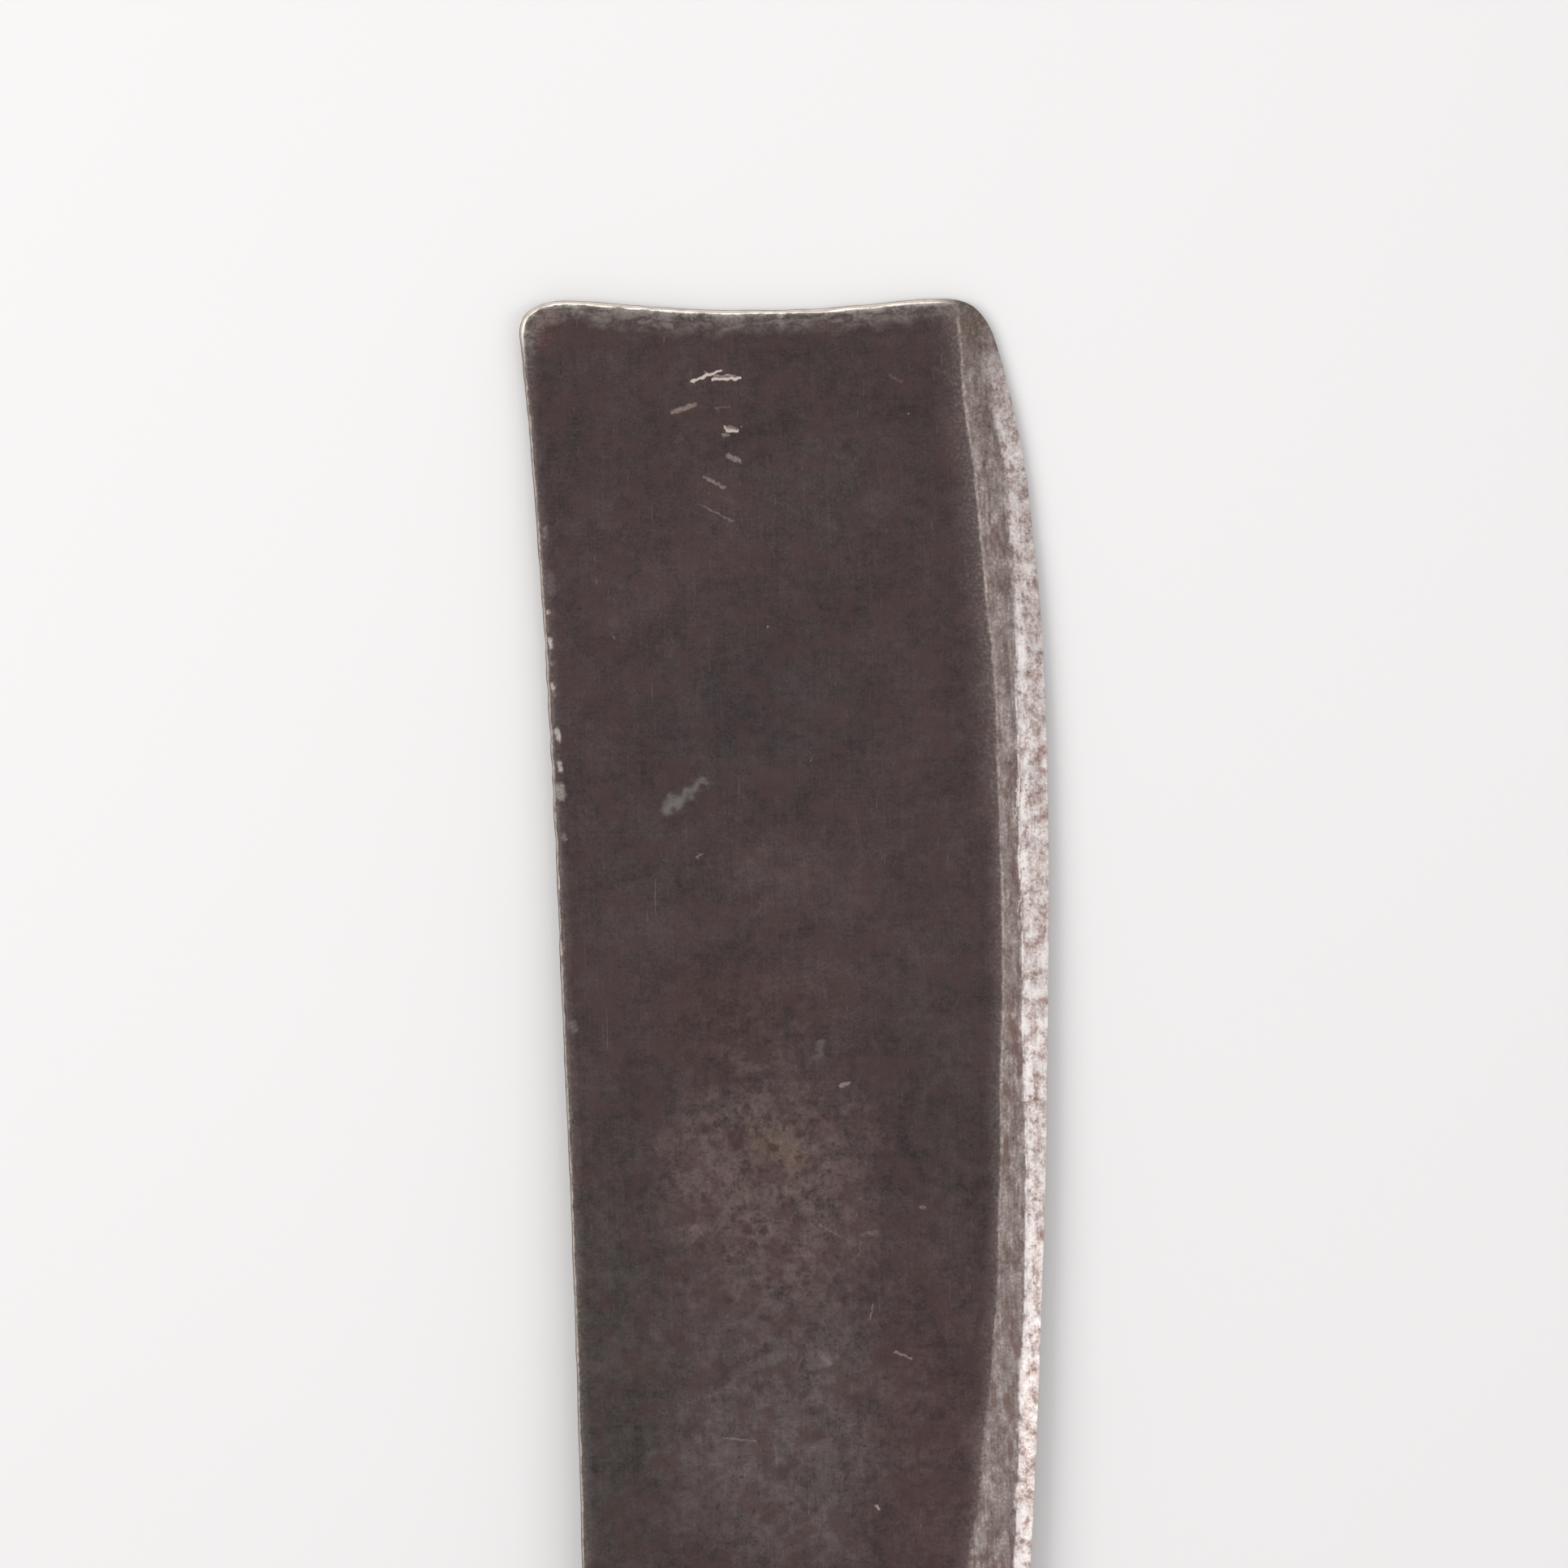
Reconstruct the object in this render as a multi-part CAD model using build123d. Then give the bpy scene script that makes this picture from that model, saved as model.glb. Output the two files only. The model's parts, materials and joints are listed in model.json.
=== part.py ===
from build123d import *
import math
import os

# Butcher's cleaver, 12 inch pattern: one forged carbon-steel blade with a full tapered tang,
# two wooden scales, three two-piece cutler's rivets and a brass eyelet that lines the hanging hole.
#
# Working frame, used until lay_down(): X runs across the blade from the spine (x = 0) to the
# cutting edge (+X), Y runs along it from the heel (y = 0) to the tip (+Y) with the handle at -Y,
# and Z is the thickness, with the blade's middle plane at z = 0.
# lay_down() then puts the cleaver on a table as it rests: handle swell and tip touching z = 0.
# All sizes are millimetres.

# ---- driving dimensions: blade ----
BLADE_LENGTH = 305.0        # heel to the foremost point of the tip (12 in)
HALF_T = 3.6                # half thickness at the spine, at the heel
TAPER_ACROSS = 0.0080       # loss of half thickness per mm from spine to edge
TAPER_TIP = 0.0036          # loss of half thickness per mm from heel to tip
TAPER_BUTT = 0.0083         # loss of half thickness per mm from heel to butt, along the tang
SHOULDER_Y = -17.0          # where the blade ends and the tang begins, under the front of the scales
ARRIS_R = 1.3               # worn round-over along the spine and the tip
EDGE_HALF = 0.15            # half thickness left at the cutting edge

# Spine, heel to tip: straight, then flaring outward to the tip.
SPINE = [(0.0, 8.0), (0.2, 40.0), (0.5, 80.0), (0.5, 110.0), (0.25, 145.0), (0.1, 180.0),
         (-0.25, 208.0), (-0.95, 240.0), (-1.9, 267.0), (-3.0, 288.0), (-3.6, 296.5)]
TIP_BACK = [(-3.6, 296.5), (-2.9, 301.2), (0.6, 304.2), (6.6, 305.0)]
# The tip is slightly hollow, with a horn at each corner.
TIP_END = [(6.6, 305.0), (14.6, 304.4), (28.8, 302.7), (46.7, 301.5), (60.0, 301.3),
           (72.0, 301.7), (84.0, 302.4), (90.0, 302.5)]
TIP_FRONT = [(90.0, 302.5), (96.2, 300.7), (99.6, 297.0), (101.4, 292.3)]
# Cutting edge, tip to heel: a long even belly.
EDGE = [(101.4, 292.3), (104.6, 278.0), (106.6, 265.0), (108.0, 249.0), (108.9, 232.0),
        (109.2, 213.0), (109.0, 195.0), (108.2, 170.0), (106.9, 141.0), (105.2, 110.0),
        (103.2, 82.0), (101.0, 53.0), (98.6, 25.0), (96.9, 6.0)]
HEEL_CORNER_R = 5.0

# The ground bevel, both sides: (y, inner line x, middle line x, edge x, half thickness at the middle line)
BEVEL = [(-14.0, 78.5, 91.6, 95.0, 1.20), (22.0, 84.8, 94.9, 98.35, 1.25), (53.0, 89.3, 97.3, 101.0, 1.30),
         (82.0, 93.0, 99.4, 103.2, 1.35), (117.0, 95.5, 100.9, 105.6, 1.45), (153.0, 97.3, 101.7, 107.45, 1.60),
         (190.0, 98.1, 102.4, 108.9, 1.60), (226.0, 97.6, 103.0, 109.1, 1.55), (253.0, 96.1, 101.7, 107.7, 1.40),
         (280.0, 93.9, 98.5, 104.2, 1.25), (318.0, 88.0, 91.0, 96.5, 1.05)]

# ---- driving dimensions: handle ----
BUTT_Y = -147.5
RIVETS = [("front", 21.4, -31.0), ("middle", 22.6, -73.0), ("rear", 20.4, -110.0)]
RIVET_HEAD_R = 6.0
RIVET_HEAD_DEPTH = 2.6      # least depth of the counterbored head below the crown
RIVET_TUBE_R = 3.75
RIVET_STUD_R = 2.5
EYELET_X, EYELET_Y = 21.0, -133.0
EYELET_R, EYELET_BORE_R = 4.5, 3.5
FIT_GAP = 0.05              # radial clearance round each rivet and eyelet

# Oval envelope of the handle, as ellipses: (y, centre x, half width, half thickness)
ENVELOPE = [(0.0, 22.0, 24.0, 4.6), (-12.0, 22.0, 23.6, 7.6), (-28.0, 21.6, 22.6, 10.4),
            (-50.0, 21.6, 23.0, 11.8), (-78.0, 22.6, 24.6, 12.7), (-104.0, 21.6, 24.0, 12.2),
            (-126.0, 20.6, 23.6, 11.2), (-141.0, 21.0, 25.5, 9.8), (-158.0, 21.0, 26.0, 6.4)]
SCALE_EDGE_R = 1.4          # rounding of the scales along their outline

# ---- resting attitude, worked out from the three points that touch the table ----
REST_PITCH = 1.5686         # degrees about X: tip down
REST_ROLL = 0.4993          # degrees about Y


def half_t(x, y):
    """Half thickness of the blade or tang at a point of its outline plane."""
    if y >= SHOULDER_Y:
        return HALF_T - TAPER_ACROSS * x - TAPER_TIP * y
    return HALF_T - TAPER_ACROSS * x - TAPER_TIP * SHOULDER_Y - TAPER_BUTT * (SHOULDER_Y - y)


def v(points):
    return [Vector(x, y, 0) for x, y in points]


# ---- outline of blade and tang ----
heel_corner = (92.0, 0.6)
line_spine = Spline(*v(SPINE), tangents=[Vector(0, 1, 0), Vector(-0.05, 1, 0)])
line_back = Spline(*v(TIP_BACK), tangents=[Vector(-0.05, 1, 0), Vector(1, 0, 0)])
line_end = Spline(*v(TIP_END), tangents=[Vector(1, 0, 0), Vector(1, -0.02, 0)])
line_front = Spline(*v(TIP_FRONT), tangents=[Vector(1, -0.02, 0), Vector(0.28, -1, 0)])
line_edge = Spline(*v(EDGE), tangents=[Vector(0.28, -1, 0), Vector(-0.09, -1, 0)])
line_heel_corner = Spline(*v([(96.9, 6.0), (95.4, 1.9), (91.6, 0.2)]), tangents=[Vector(-0.09, -1, 0), Vector(-1, -0.03, 0)])
line_heel = Line((91.6, 0.2, 0), (55.0, -0.9, 0))
NECK = [(55.0, -0.9), (48.2, -3.4), (43.0, -8.6), (41.0, -15.5)]
line_neck = Spline(*v(NECK), tangents=[Vector(-1, -0.03, 0), Vector(-0.14, -1, 0)])
BELLY = [(41.0, -15.5), (39.6, -30.0), (40.6, -52.0), (42.6, -76.0), (41.8, -98.0),
         (39.2, -116.0), (39.6, -128.0), (42.4, -138.0)]
line_belly = Spline(*v(BELLY), tangents=[Vector(-0.14, -1, 0), Vector(0.30, -1, 0)])
BUTT_CORNER = [(42.4, -138.0), (42.4, -143.0), (38.0, -146.6)]
line_butt_corner = Spline(*v(BUTT_CORNER), tangents=[Vector(0.30, -1, 0), Vector(-1, -0.22, 0)])
BUTT = [(38.0, -146.6), (30.0, -147.5), (18.0, -146.2), (8.6, -141.8), (3.0, -135.0)]
line_butt = Spline(*v(BUTT), tangents=[Vector(-1, -0.22, 0), Vector(-0.45, 1, 0)])
BACK = [(3.0, -135.0), (1.2, -122.0), (1.9, -100.0), (3.0, -76.0), (2.3, -50.0), (3.0, -30.0), (2.4, -12.0), (0.0, 8.0)]
line_back_of_handle = Spline(*v(BACK), tangents=[Vector(-0.45, 1, 0), Vector(0, 1, 0)])

outline = make_face([line_spine, line_back, line_end, line_front, line_edge, line_heel_corner, line_heel,
                     line_neck, line_belly, line_butt_corner, line_butt, line_back_of_handle])
plate = extrude(Pos(0, 0, -8) * outline, amount=16)

# Four flats: two slope from the shoulder to the tip, two from the shoulder to the butt.
FAR = 900


def flat_block(taper_x, taper_y, x, y, side, inward=False):
    """Everything beyond (or within) the flat that passes through the blade's face at (x, y)."""
    normal = Vector(taper_x, taper_y, side)
    at = Vector(x, y, half_t(x, y) * side)
    lean = Plane(origin=at, x_dir=Vector(side, 0, -taper_x), z_dir=normal)
    return lean * Box(FAR, FAR, 40, align=(Align.CENTER, Align.CENTER, Align.MAX if inward else Align.MIN))


ahead = Pos(0, SHOULDER_Y, 0) * Box(FAR, FAR, 60, align=(Align.CENTER, Align.MIN, Align.CENTER))
behind = Pos(0, SHOULDER_Y, 0) * Box(FAR, FAR, 60, align=(Align.CENTER, Align.MAX, Align.CENTER))
blade_plate = (plate & ahead) - flat_block(TAPER_ACROSS, TAPER_TIP, 50, 0, 1) - flat_block(TAPER_ACROSS, TAPER_TIP, 50, 0, -1)
tang_plate = (plate & behind) - flat_block(TAPER_ACROSS, -TAPER_BUTT, 20, -60, 1) - flat_block(TAPER_ACROSS, -TAPER_BUTT, 20, -60, -1)
blade_plate = blade_plate.solids()[0]
tang_plate = tang_plate.solids()[0]


def rounded(body, y0, y1):
    """The stretch of a plate between two stations, with the arrises round its outline worn round."""
    piece = body & (Pos(0, (y0 + y1) / 2, 0) * Box(FAR, y1 - y0, 60))
    piece = piece.solids().sort_by(SortBy.VOLUME)[-1]
    rim = []
    for edge in piece.edges():
        a, b, c = edge.position_at(0), edge.position_at(1), edge.position_at(0.5)
        if abs(c.Z) > 0.9 and abs(a.Z - b.Z) < 2.0 and y0 + 0.01 < c.Y < y1 - 0.01:
            rim.append(edge)
    return fillet(rim, radius=ARRIS_R)


blade = rounded(blade_plate, SHOULDER_Y, 150.0) + rounded(blade_plate, 150.0, BLADE_LENGTH + 20.0)


def bevel_cutter(side):
    """The metal ground away above the two facets of the bevel, along the whole edge."""
    faces = []
    for y, inner, middle, edge, half_mid in BEVEL:
        half_in = HALF_T - TAPER_ACROSS * inner - TAPER_TIP * y
        outer_slope = (half_mid - EDGE_HALF) / (edge - middle)
        inner_slope = (half_in - half_mid) / (middle - inner)
        out, back = 4.0, 4.0
        section = [(edge + out, EDGE_HALF - outer_slope * out), (middle, half_mid),
                   (inner - back, half_in + inner_slope * back), (inner - back, 9.0), (edge + out, 9.0)]
        corners = [Vector(x, y, z * side) for x, z in section]
        faces.append(Face(Wire.make_polygon(corners, close=True)))
    return Solid.make_loft([f.outer_wire() for f in faces], ruled=False)


blade = blade - bevel_cutter(1) - bevel_cutter(-1)
blade = blade.solids().sort_by(SortBy.VOLUME)[-1]
blade = blade + tang_plate

# ---- handle envelope and scales ----
envelope = Solid.make_loft(
    [Wire([Edge.make_ellipse(a, b, plane=Plane(origin=(xc, y, 0), x_dir=(1, 0, 0), z_dir=(0, 1, 0)))])
     for y, xc, a, b in ENVELOPE], ruled=False)

# A scale covers the tang from a curved front end to the butt.
line_front_of_scale = Spline(*v([(2.6, -15.0), (9.0, -10.6), (21.5, -8.6), (34.0, -11.0), (41.0, -15.5)]))
BACK_OF_SCALE = [p for p in BACK if p[1] < -15.0] + [(2.6, -15.0)]
line_back_of_scale = Spline(*v(BACK_OF_SCALE), tangents=[Vector(-0.45, 1, 0), Vector(-0.08, 1, 0)])
scale_outline = make_face([line_belly, line_butt_corner, line_butt, line_back_of_scale, line_front_of_scale])
block = extrude(scale_outline, amount=20)
left = envelope & block
left = left - (flat_block(TAPER_ACROSS, -TAPER_BUTT, 20, -60, 1, inward=True)
               & flat_block(TAPER_ACROSS, TAPER_TIP, 50, 0, 1, inward=True))
left = left.solids().sort_by(SortBy.VOLUME)[-1]


def on_crown(edge):
    c = edge.position_at(0.5)
    a, b = edge.position_at(0), edge.position_at(1)
    return edge.length > 10 and min(a.Z, b.Z, c.Z) > half_t(c.X, c.Y) + 0.9


crown = [e for e in left.edges() if on_crown(e)]
left = fillet(crown, radius=SCALE_EDGE_R)
left = left.solids().sort_by(SortBy.VOLUME)[-1]
right = mirror(left, about=Plane.XY).solids()[0]


def rod(x, y, z0, z1, r):
    return Pos(x, y, z0) * Cylinder(r, z1 - z0, align=(Align.CENTER, Align.CENTER, Align.MIN))


def crown_z(x, y):
    """Half thickness of the handle's envelope at a point, read from the solid."""
    probe = envelope & rod(x, y, 0, 30, 0.05)
    return probe.bounding_box().max.Z


parts = {}
for name, x, y in RIVETS:
    top = crown_z(x, y)
    seat = top - RIVET_HEAD_DEPTH - 0.9
    tube_end = seat - 1.0
    stud = rod(x, y, seat, 30, RIVET_HEAD_R) + rod(x, y, -seat + 2.2, seat, RIVET_STUD_R)
    socket = rod(x, y, -30, -seat, RIVET_HEAD_R) + rod(x, y, -seat, tube_end, RIVET_TUBE_R)
    socket = socket - rod(x, y, -seat + 1.0, tube_end + 1, RIVET_STUD_R + 0.02)
    stud = (stud & envelope).solids().sort_by(SortBy.VOLUME)[-1]
    socket = (socket & envelope).solids().sort_by(SortBy.VOLUME)[-1]
    parts[f"{name}_rivet_stud"] = stud
    parts[f"{name}_rivet_socket"] = socket
    hole = rod(x, y, -40, 40, RIVET_TUBE_R + FIT_GAP)
    left = left - hole - rod(x, y, seat, 40, RIVET_HEAD_R + FIT_GAP)
    right = right - hole - rod(x, y, -40, -seat, RIVET_HEAD_R + FIT_GAP)
    blade = blade - rod(x, y, -40, 40, RIVET_TUBE_R + 0.15)

eye_hole = rod(EYELET_X, EYELET_Y, -40, 40, EYELET_R + FIT_GAP)
left, right, blade = left - eye_hole, right - eye_hole, blade - eye_hole
eyelet = rod(EYELET_X, EYELET_Y, -40, 40, EYELET_R) & envelope
eyelet = eyelet - rod(EYELET_X, EYELET_Y, -40, 40, EYELET_BORE_R)
eyelet = eyelet.solids().sort_by(SortBy.VOLUME)[-1]
eye_top = crown_z(EYELET_X, EYELET_Y)

parts["blade"] = blade.solids().sort_by(SortBy.VOLUME)[-1]
parts["left_scale"] = left.solids().sort_by(SortBy.VOLUME)[-1]
parts["right_scale"] = right.solids().sort_by(SortBy.VOLUME)[-1]
parts["hanging_eyelet"] = eyelet

# ---- lay the cleaver on the table ----
turn = Rotation(-REST_PITCH, REST_ROLL, 0)
turned = {n: turn * s for n, s in parts.items()}
box = Compound(children=[s for s in turned.values()]).bounding_box(optimal=True)
shift = Vector(-(box.min.X + box.max.X) / 2, -(box.min.Y + box.max.Y) / 2, -box.min.Z)
lay = Location((shift.X, shift.Y, shift.Z)) * turn

os.makedirs("parts", exist_ok=True)
for name, solid in parts.items():
    export_step(lay * solid, f"parts/{name}.step")

# Facts for the record: where the working frame's points land after lay_down.


def laid(x, y, z):
    p = (lay * Pos(x, y, z)).position
    return tuple(round(c / 1000, 6) for c in (p.X, p.Y, p.Z))


def turned_dir(x, y, z):
    d = Vector(x, y, z).normalized()
    a = (turn * Pos(d.X, d.Y, d.Z)).position
    return tuple(round(c, 6) for c in (a.X, a.Y, a.Z))


if __name__ == "__main__":
    print("shift", shift.X, shift.Y, shift.Z)
    print("overall", box.size)
    print("eyelet centre", laid(EYELET_X, EYELET_Y, 0), "axis", turned_dir(0, 0, 1), "half length", eye_top)
    print("upper flat point", laid(50, 150, half_t(50, 150)), "normal", turned_dir(TAPER_ACROSS, TAPER_TIP, 1))
    print("lower flat point", laid(50, 150, -half_t(50, 150)), "normal", turned_dir(TAPER_ACROSS, TAPER_TIP, -1))
    print("volumes cm3", {n: round(s.volume / 1000, 2) for n, s in parts.items()})
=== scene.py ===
import json
import math

import bpy
import numpy as np
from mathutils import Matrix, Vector
from mathutils.geometry import delaunay_2d_cdt

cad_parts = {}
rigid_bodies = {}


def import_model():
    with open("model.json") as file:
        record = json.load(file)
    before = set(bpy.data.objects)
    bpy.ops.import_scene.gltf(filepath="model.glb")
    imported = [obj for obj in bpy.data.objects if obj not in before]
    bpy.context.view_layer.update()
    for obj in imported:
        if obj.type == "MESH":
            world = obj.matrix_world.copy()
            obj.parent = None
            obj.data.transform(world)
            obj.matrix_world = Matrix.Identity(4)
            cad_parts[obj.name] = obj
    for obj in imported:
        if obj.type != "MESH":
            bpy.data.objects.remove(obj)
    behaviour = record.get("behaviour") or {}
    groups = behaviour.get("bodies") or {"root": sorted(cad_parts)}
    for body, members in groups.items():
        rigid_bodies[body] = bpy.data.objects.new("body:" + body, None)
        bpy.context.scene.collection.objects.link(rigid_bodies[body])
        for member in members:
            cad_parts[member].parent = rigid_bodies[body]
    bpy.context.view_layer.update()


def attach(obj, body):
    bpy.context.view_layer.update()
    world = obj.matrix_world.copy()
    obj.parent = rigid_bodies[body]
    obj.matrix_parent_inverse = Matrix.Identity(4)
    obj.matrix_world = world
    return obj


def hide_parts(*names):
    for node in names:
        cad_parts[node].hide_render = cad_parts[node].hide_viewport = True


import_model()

RNG = np.random.default_rng(20)

# ------------------------------------------------------------------ the cleaver's own frame
# Millimetres: x from spine to edge, y from heel to tip, z through the thickness; laid() puts it on the table.
PITCH, ROLL = math.radians(-1.5686), math.radians(0.4993)
SHIFT = np.array([-52.76913, -78.62361, 10.83045])
RX = np.array([[1, 0, 0], [0, math.cos(PITCH), -math.sin(PITCH)], [0, math.sin(PITCH), math.cos(PITCH)]])
RY = np.array([[math.cos(ROLL), 0, math.sin(ROLL)], [0, 1, 0], [-math.sin(ROLL), 0, math.cos(ROLL)]])
TURN = RX @ RY


def laid(points):
    return (np.asarray(points, float) @ TURN.T + SHIFT) / 1000.0


HALF_T, TAPER_ACROSS, TAPER_TIP, TAPER_BUTT, SHOULDER_Y = 3.6, 0.0080, 0.0036, 0.0083, -17.0
EDGE_HALF = 0.15

SPINE = [(0.0, 8.0), (0.2, 40.0), (0.5, 80.0), (0.5, 110.0), (0.25, 145.0), (0.1, 180.0),
         (-0.25, 208.0), (-0.95, 240.0), (-1.9, 267.0), (-3.0, 288.0), (-3.6, 296.5)]
TIP_BACK = [(-3.6, 296.5), (-2.9, 301.2), (0.6, 304.2), (6.6, 305.0)]
TIP_END = [(6.6, 305.0), (14.6, 304.4), (28.8, 302.7), (46.7, 301.5), (60.0, 301.3),
           (72.0, 301.7), (84.0, 302.4), (90.0, 302.5)]
TIP_FRONT = [(90.0, 302.5), (96.2, 300.7), (99.6, 297.0), (101.4, 292.3)]
EDGE = [(101.4, 292.3), (104.6, 278.0), (106.6, 265.0), (108.0, 249.0), (108.9, 232.0),
        (109.2, 213.0), (109.0, 195.0), (108.2, 170.0), (106.9, 141.0), (105.2, 110.0),
        (103.2, 82.0), (101.0, 53.0), (98.6, 25.0), (96.9, 6.0)]
HEEL_CORNER = [(96.9, 6.0), (95.4, 1.9), (91.6, 0.2)]
NECK = [(55.0, -0.9), (48.2, -3.4), (43.0, -8.6), (41.0, -15.5)]
BELLY = [(41.0, -15.5), (39.6, -30.0), (40.6, -52.0), (42.6, -76.0), (41.8, -98.0),
         (39.2, -116.0), (39.6, -128.0), (42.4, -138.0)]
BUTT_CORNER = [(42.4, -138.0), (42.4, -143.0), (38.0, -146.6)]
BUTT = [(38.0, -146.6), (30.0, -147.5), (18.0, -146.2), (8.6, -141.8), (3.0, -135.0)]
BACK = [(3.0, -135.0), (1.2, -122.0), (1.9, -100.0), (3.0, -76.0), (2.3, -50.0), (3.0, -30.0), (2.4, -12.0), (0.0, 8.0)]
SCALE_FRONT = [(2.6, -15.0), (9.0, -10.6), (21.5, -8.6), (34.0, -11.0), (41.0, -15.5)]

# Bevel: (y, inner crease x, middle crease x, cutting edge x, half thickness at the middle crease)
BEVEL = np.array([
    (-14.0, 78.5, 91.6, 95.0, 1.20), (6.0, 82.4, 93.4, 96.9, 1.20), (22.9, 84.8, 94.9, 98.4, 1.25),
    (39.1, 87.35, 96.1, 99.8, 1.28), (53.3, 89.3, 97.2, 101.0, 1.30), (67.5, 91.5, 98.1, 102.1, 1.33),
    (81.8, 93.3, 99.3, 103.2, 1.35), (99.6, 94.3, 100.2, 104.6, 1.40), (117.4, 95.4, 100.9, 105.7, 1.45),
    (135.3, 96.4, 101.2, 106.6, 1.52), (153.1, 97.3, 101.7, 107.4, 1.60), (170.9, 97.95, 101.9, 108.2, 1.62),
    (188.8, 98.1, 102.4, 108.9, 1.60), (206.7, 98.1, 102.7, 109.2, 1.58), (226.4, 97.6, 103.0, 109.1, 1.55),
    (242.5, 96.6, 102.3, 108.4, 1.47), (260.4, 95.7, 100.9, 107.0, 1.36), (270.0, 94.8, 99.8, 105.9, 1.31),
    (280.0, 93.9, 98.6, 104.2, 1.25), (290.0, 93.3, 97.2, 102.0, 1.18), (298.0, 92.9, 95.9, 100.0, 1.12),
    (318.0, 91.5, 92.8, 95.5, 1.00)])

ENVELOPE = np.array([(0.0, 22.0, 24.0, 4.6), (-12.0, 22.0, 23.6, 7.6), (-28.0, 21.6, 22.6, 10.4),
                     (-50.0, 21.6, 23.0, 11.8), (-78.0, 22.6, 24.6, 12.7), (-104.0, 21.6, 24.0, 12.2),
                     (-126.0, 20.6, 23.6, 11.2), (-141.0, 21.0, 25.5, 9.8), (-158.0, 21.0, 26.0, 6.4)])
RIVETS = [("front", 21.4, -31.0), ("middle", 22.6, -73.0), ("rear", 20.4, -110.0)]
EYELET = (21.0, -133.0)


# ------------------------------------------------------------------ small numeric tools
def cubic(u, y, d0=None, d1=None):
    """Second derivatives of a C2 cubic through (u, y); ends clamped to d0, d1 or left natural."""
    n = len(u)
    h = np.diff(u)
    A = np.zeros((n, n))
    b = np.zeros(n)
    if d0 is None:
        A[0, 0] = 1
    else:
        A[0, 0], A[0, 1], b[0] = 2 * h[0], h[0], 6 * ((y[1] - y[0]) / h[0] - d0)
    if d1 is None:
        A[-1, -1] = 1
    else:
        A[-1, -2], A[-1, -1], b[-1] = h[-1], 2 * h[-1], 6 * (d1 - (y[-1] - y[-2]) / h[-1])
    for i in range(1, n - 1):
        A[i, i - 1], A[i, i], A[i, i + 1] = h[i - 1], 2 * (h[i - 1] + h[i]), h[i]
        b[i] = 6 * ((y[i + 1] - y[i]) / h[i] - (y[i] - y[i - 1]) / h[i - 1])
    return np.linalg.solve(A, b)


def cubic_at(u, y, m, q):
    i = np.clip(np.searchsorted(u, q) - 1, 0, len(u) - 2)
    h = u[i + 1] - u[i]
    a, b = (u[i + 1] - q) / h, (q - u[i]) / h
    return a * y[i] + b * y[i + 1] + ((a ** 3 - a) * m[i] + (b ** 3 - b) * m[i + 1]) * h * h / 6


def curve(points, t0, t1, step):
    """Points along a smooth curve through the given ones, evenly spaced, without the last."""
    p = np.array(points, float)
    u = np.concatenate([[0], np.cumsum(np.linalg.norm(np.diff(p, axis=0), axis=1))])
    t0, t1 = np.array(t0, float) / np.linalg.norm(t0), np.array(t1, float) / np.linalg.norm(t1)
    fine = np.linspace(0, u[-1], max(200, int(u[-1] * 8)))
    q = np.stack([cubic_at(u, p[:, k], cubic(u, p[:, k], t0[k], t1[k]), fine) for k in (0, 1)], 1)
    s = np.concatenate([[0], np.cumsum(np.linalg.norm(np.diff(q, axis=0), axis=1))])
    n = max(3, int(round(s[-1] / step)))
    at = np.linspace(0, s[-1], n + 1)[:-1]
    return np.stack([np.interp(at, s, q[:, 0]), np.interp(at, s, q[:, 1])], 1)


def wobble(x, y, scale, seed, octaves=3):
    """Smooth seeded noise of about unit size with features of the given length in mm."""
    rng = np.random.default_rng(seed)
    out, amp, total = np.zeros(np.broadcast(x, y).shape), 1.0, 0.0
    for o in range(octaves):
        f = 2 * math.pi / (scale / 2 ** o)
        for _ in range(7):
            a, ph, k = rng.uniform(0, 2 * math.pi), rng.uniform(0, 2 * math.pi), rng.uniform(0.6, 1.25)
            out = out + amp * np.cos(f * k * (x * math.cos(a) + y * math.sin(a)) + ph)
        total += amp * amp * 3.5
        amp *= 0.5
    return out / math.sqrt(total)


def inside(points, loop):
    x, y = points[:, 0][:, None], points[:, 1][:, None]
    ax, ay = loop[:, 0][None], loop[:, 1][None]
    b = np.roll(loop, -1, axis=0)
    bx, by = b[:, 0][None], b[:, 1][None]
    crosses = ((ay > y) != (by > y)) & (x < (bx - ax) * (y - ay) / np.where(by == ay, 1e-9, by - ay) + ax)
    return crosses.sum(1) % 2 == 1


def nearest(points, others):
    out = np.empty(len(points))
    for i in range(0, len(points), 2000):
        d = points[i:i + 2000, None, :] - others[None]
        out[i:i + 2000] = np.sqrt((d * d).sum(-1)).min(1)
    return out


def half_t(x, y):
    y = np.asarray(y, float)
    front = HALF_T - TAPER_ACROSS * x - TAPER_TIP * y
    back = HALF_T - TAPER_ACROSS * x - TAPER_TIP * SHOULDER_Y - TAPER_BUTT * (SHOULDER_Y - y)
    return np.where(y >= SHOULDER_Y, front, back)


def ramp(x, a, b):
    t = np.clip((x - a) / (b - a), 0, 1)
    return t * t * (3 - 2 * t)


def capsules(x, y, items, soft, stray=0.10, size=1.6):
    """How far each point is inside any of the marks, from 0 to the mark's own strength."""
    x, y = x + stray * wobble(x, y, size, 201, 2), y + stray * wobble(x, y, size, 202, 2)
    out = np.zeros(np.shape(x))
    for (ax, ay), (bx, by), r, s in items:
        dx, dy = bx - ax, by - ay
        h = np.clip(((x - ax) * dx + (y - ay) * dy) / max(dx * dx + dy * dy, 1e-6), 0, 1)
        d = np.hypot(x - ax - h * dx, y - ay - h * dy)
        out = np.maximum(out, s * (1 - ramp(d, r * (1 - soft), r * (1 + soft))))
    return out


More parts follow.
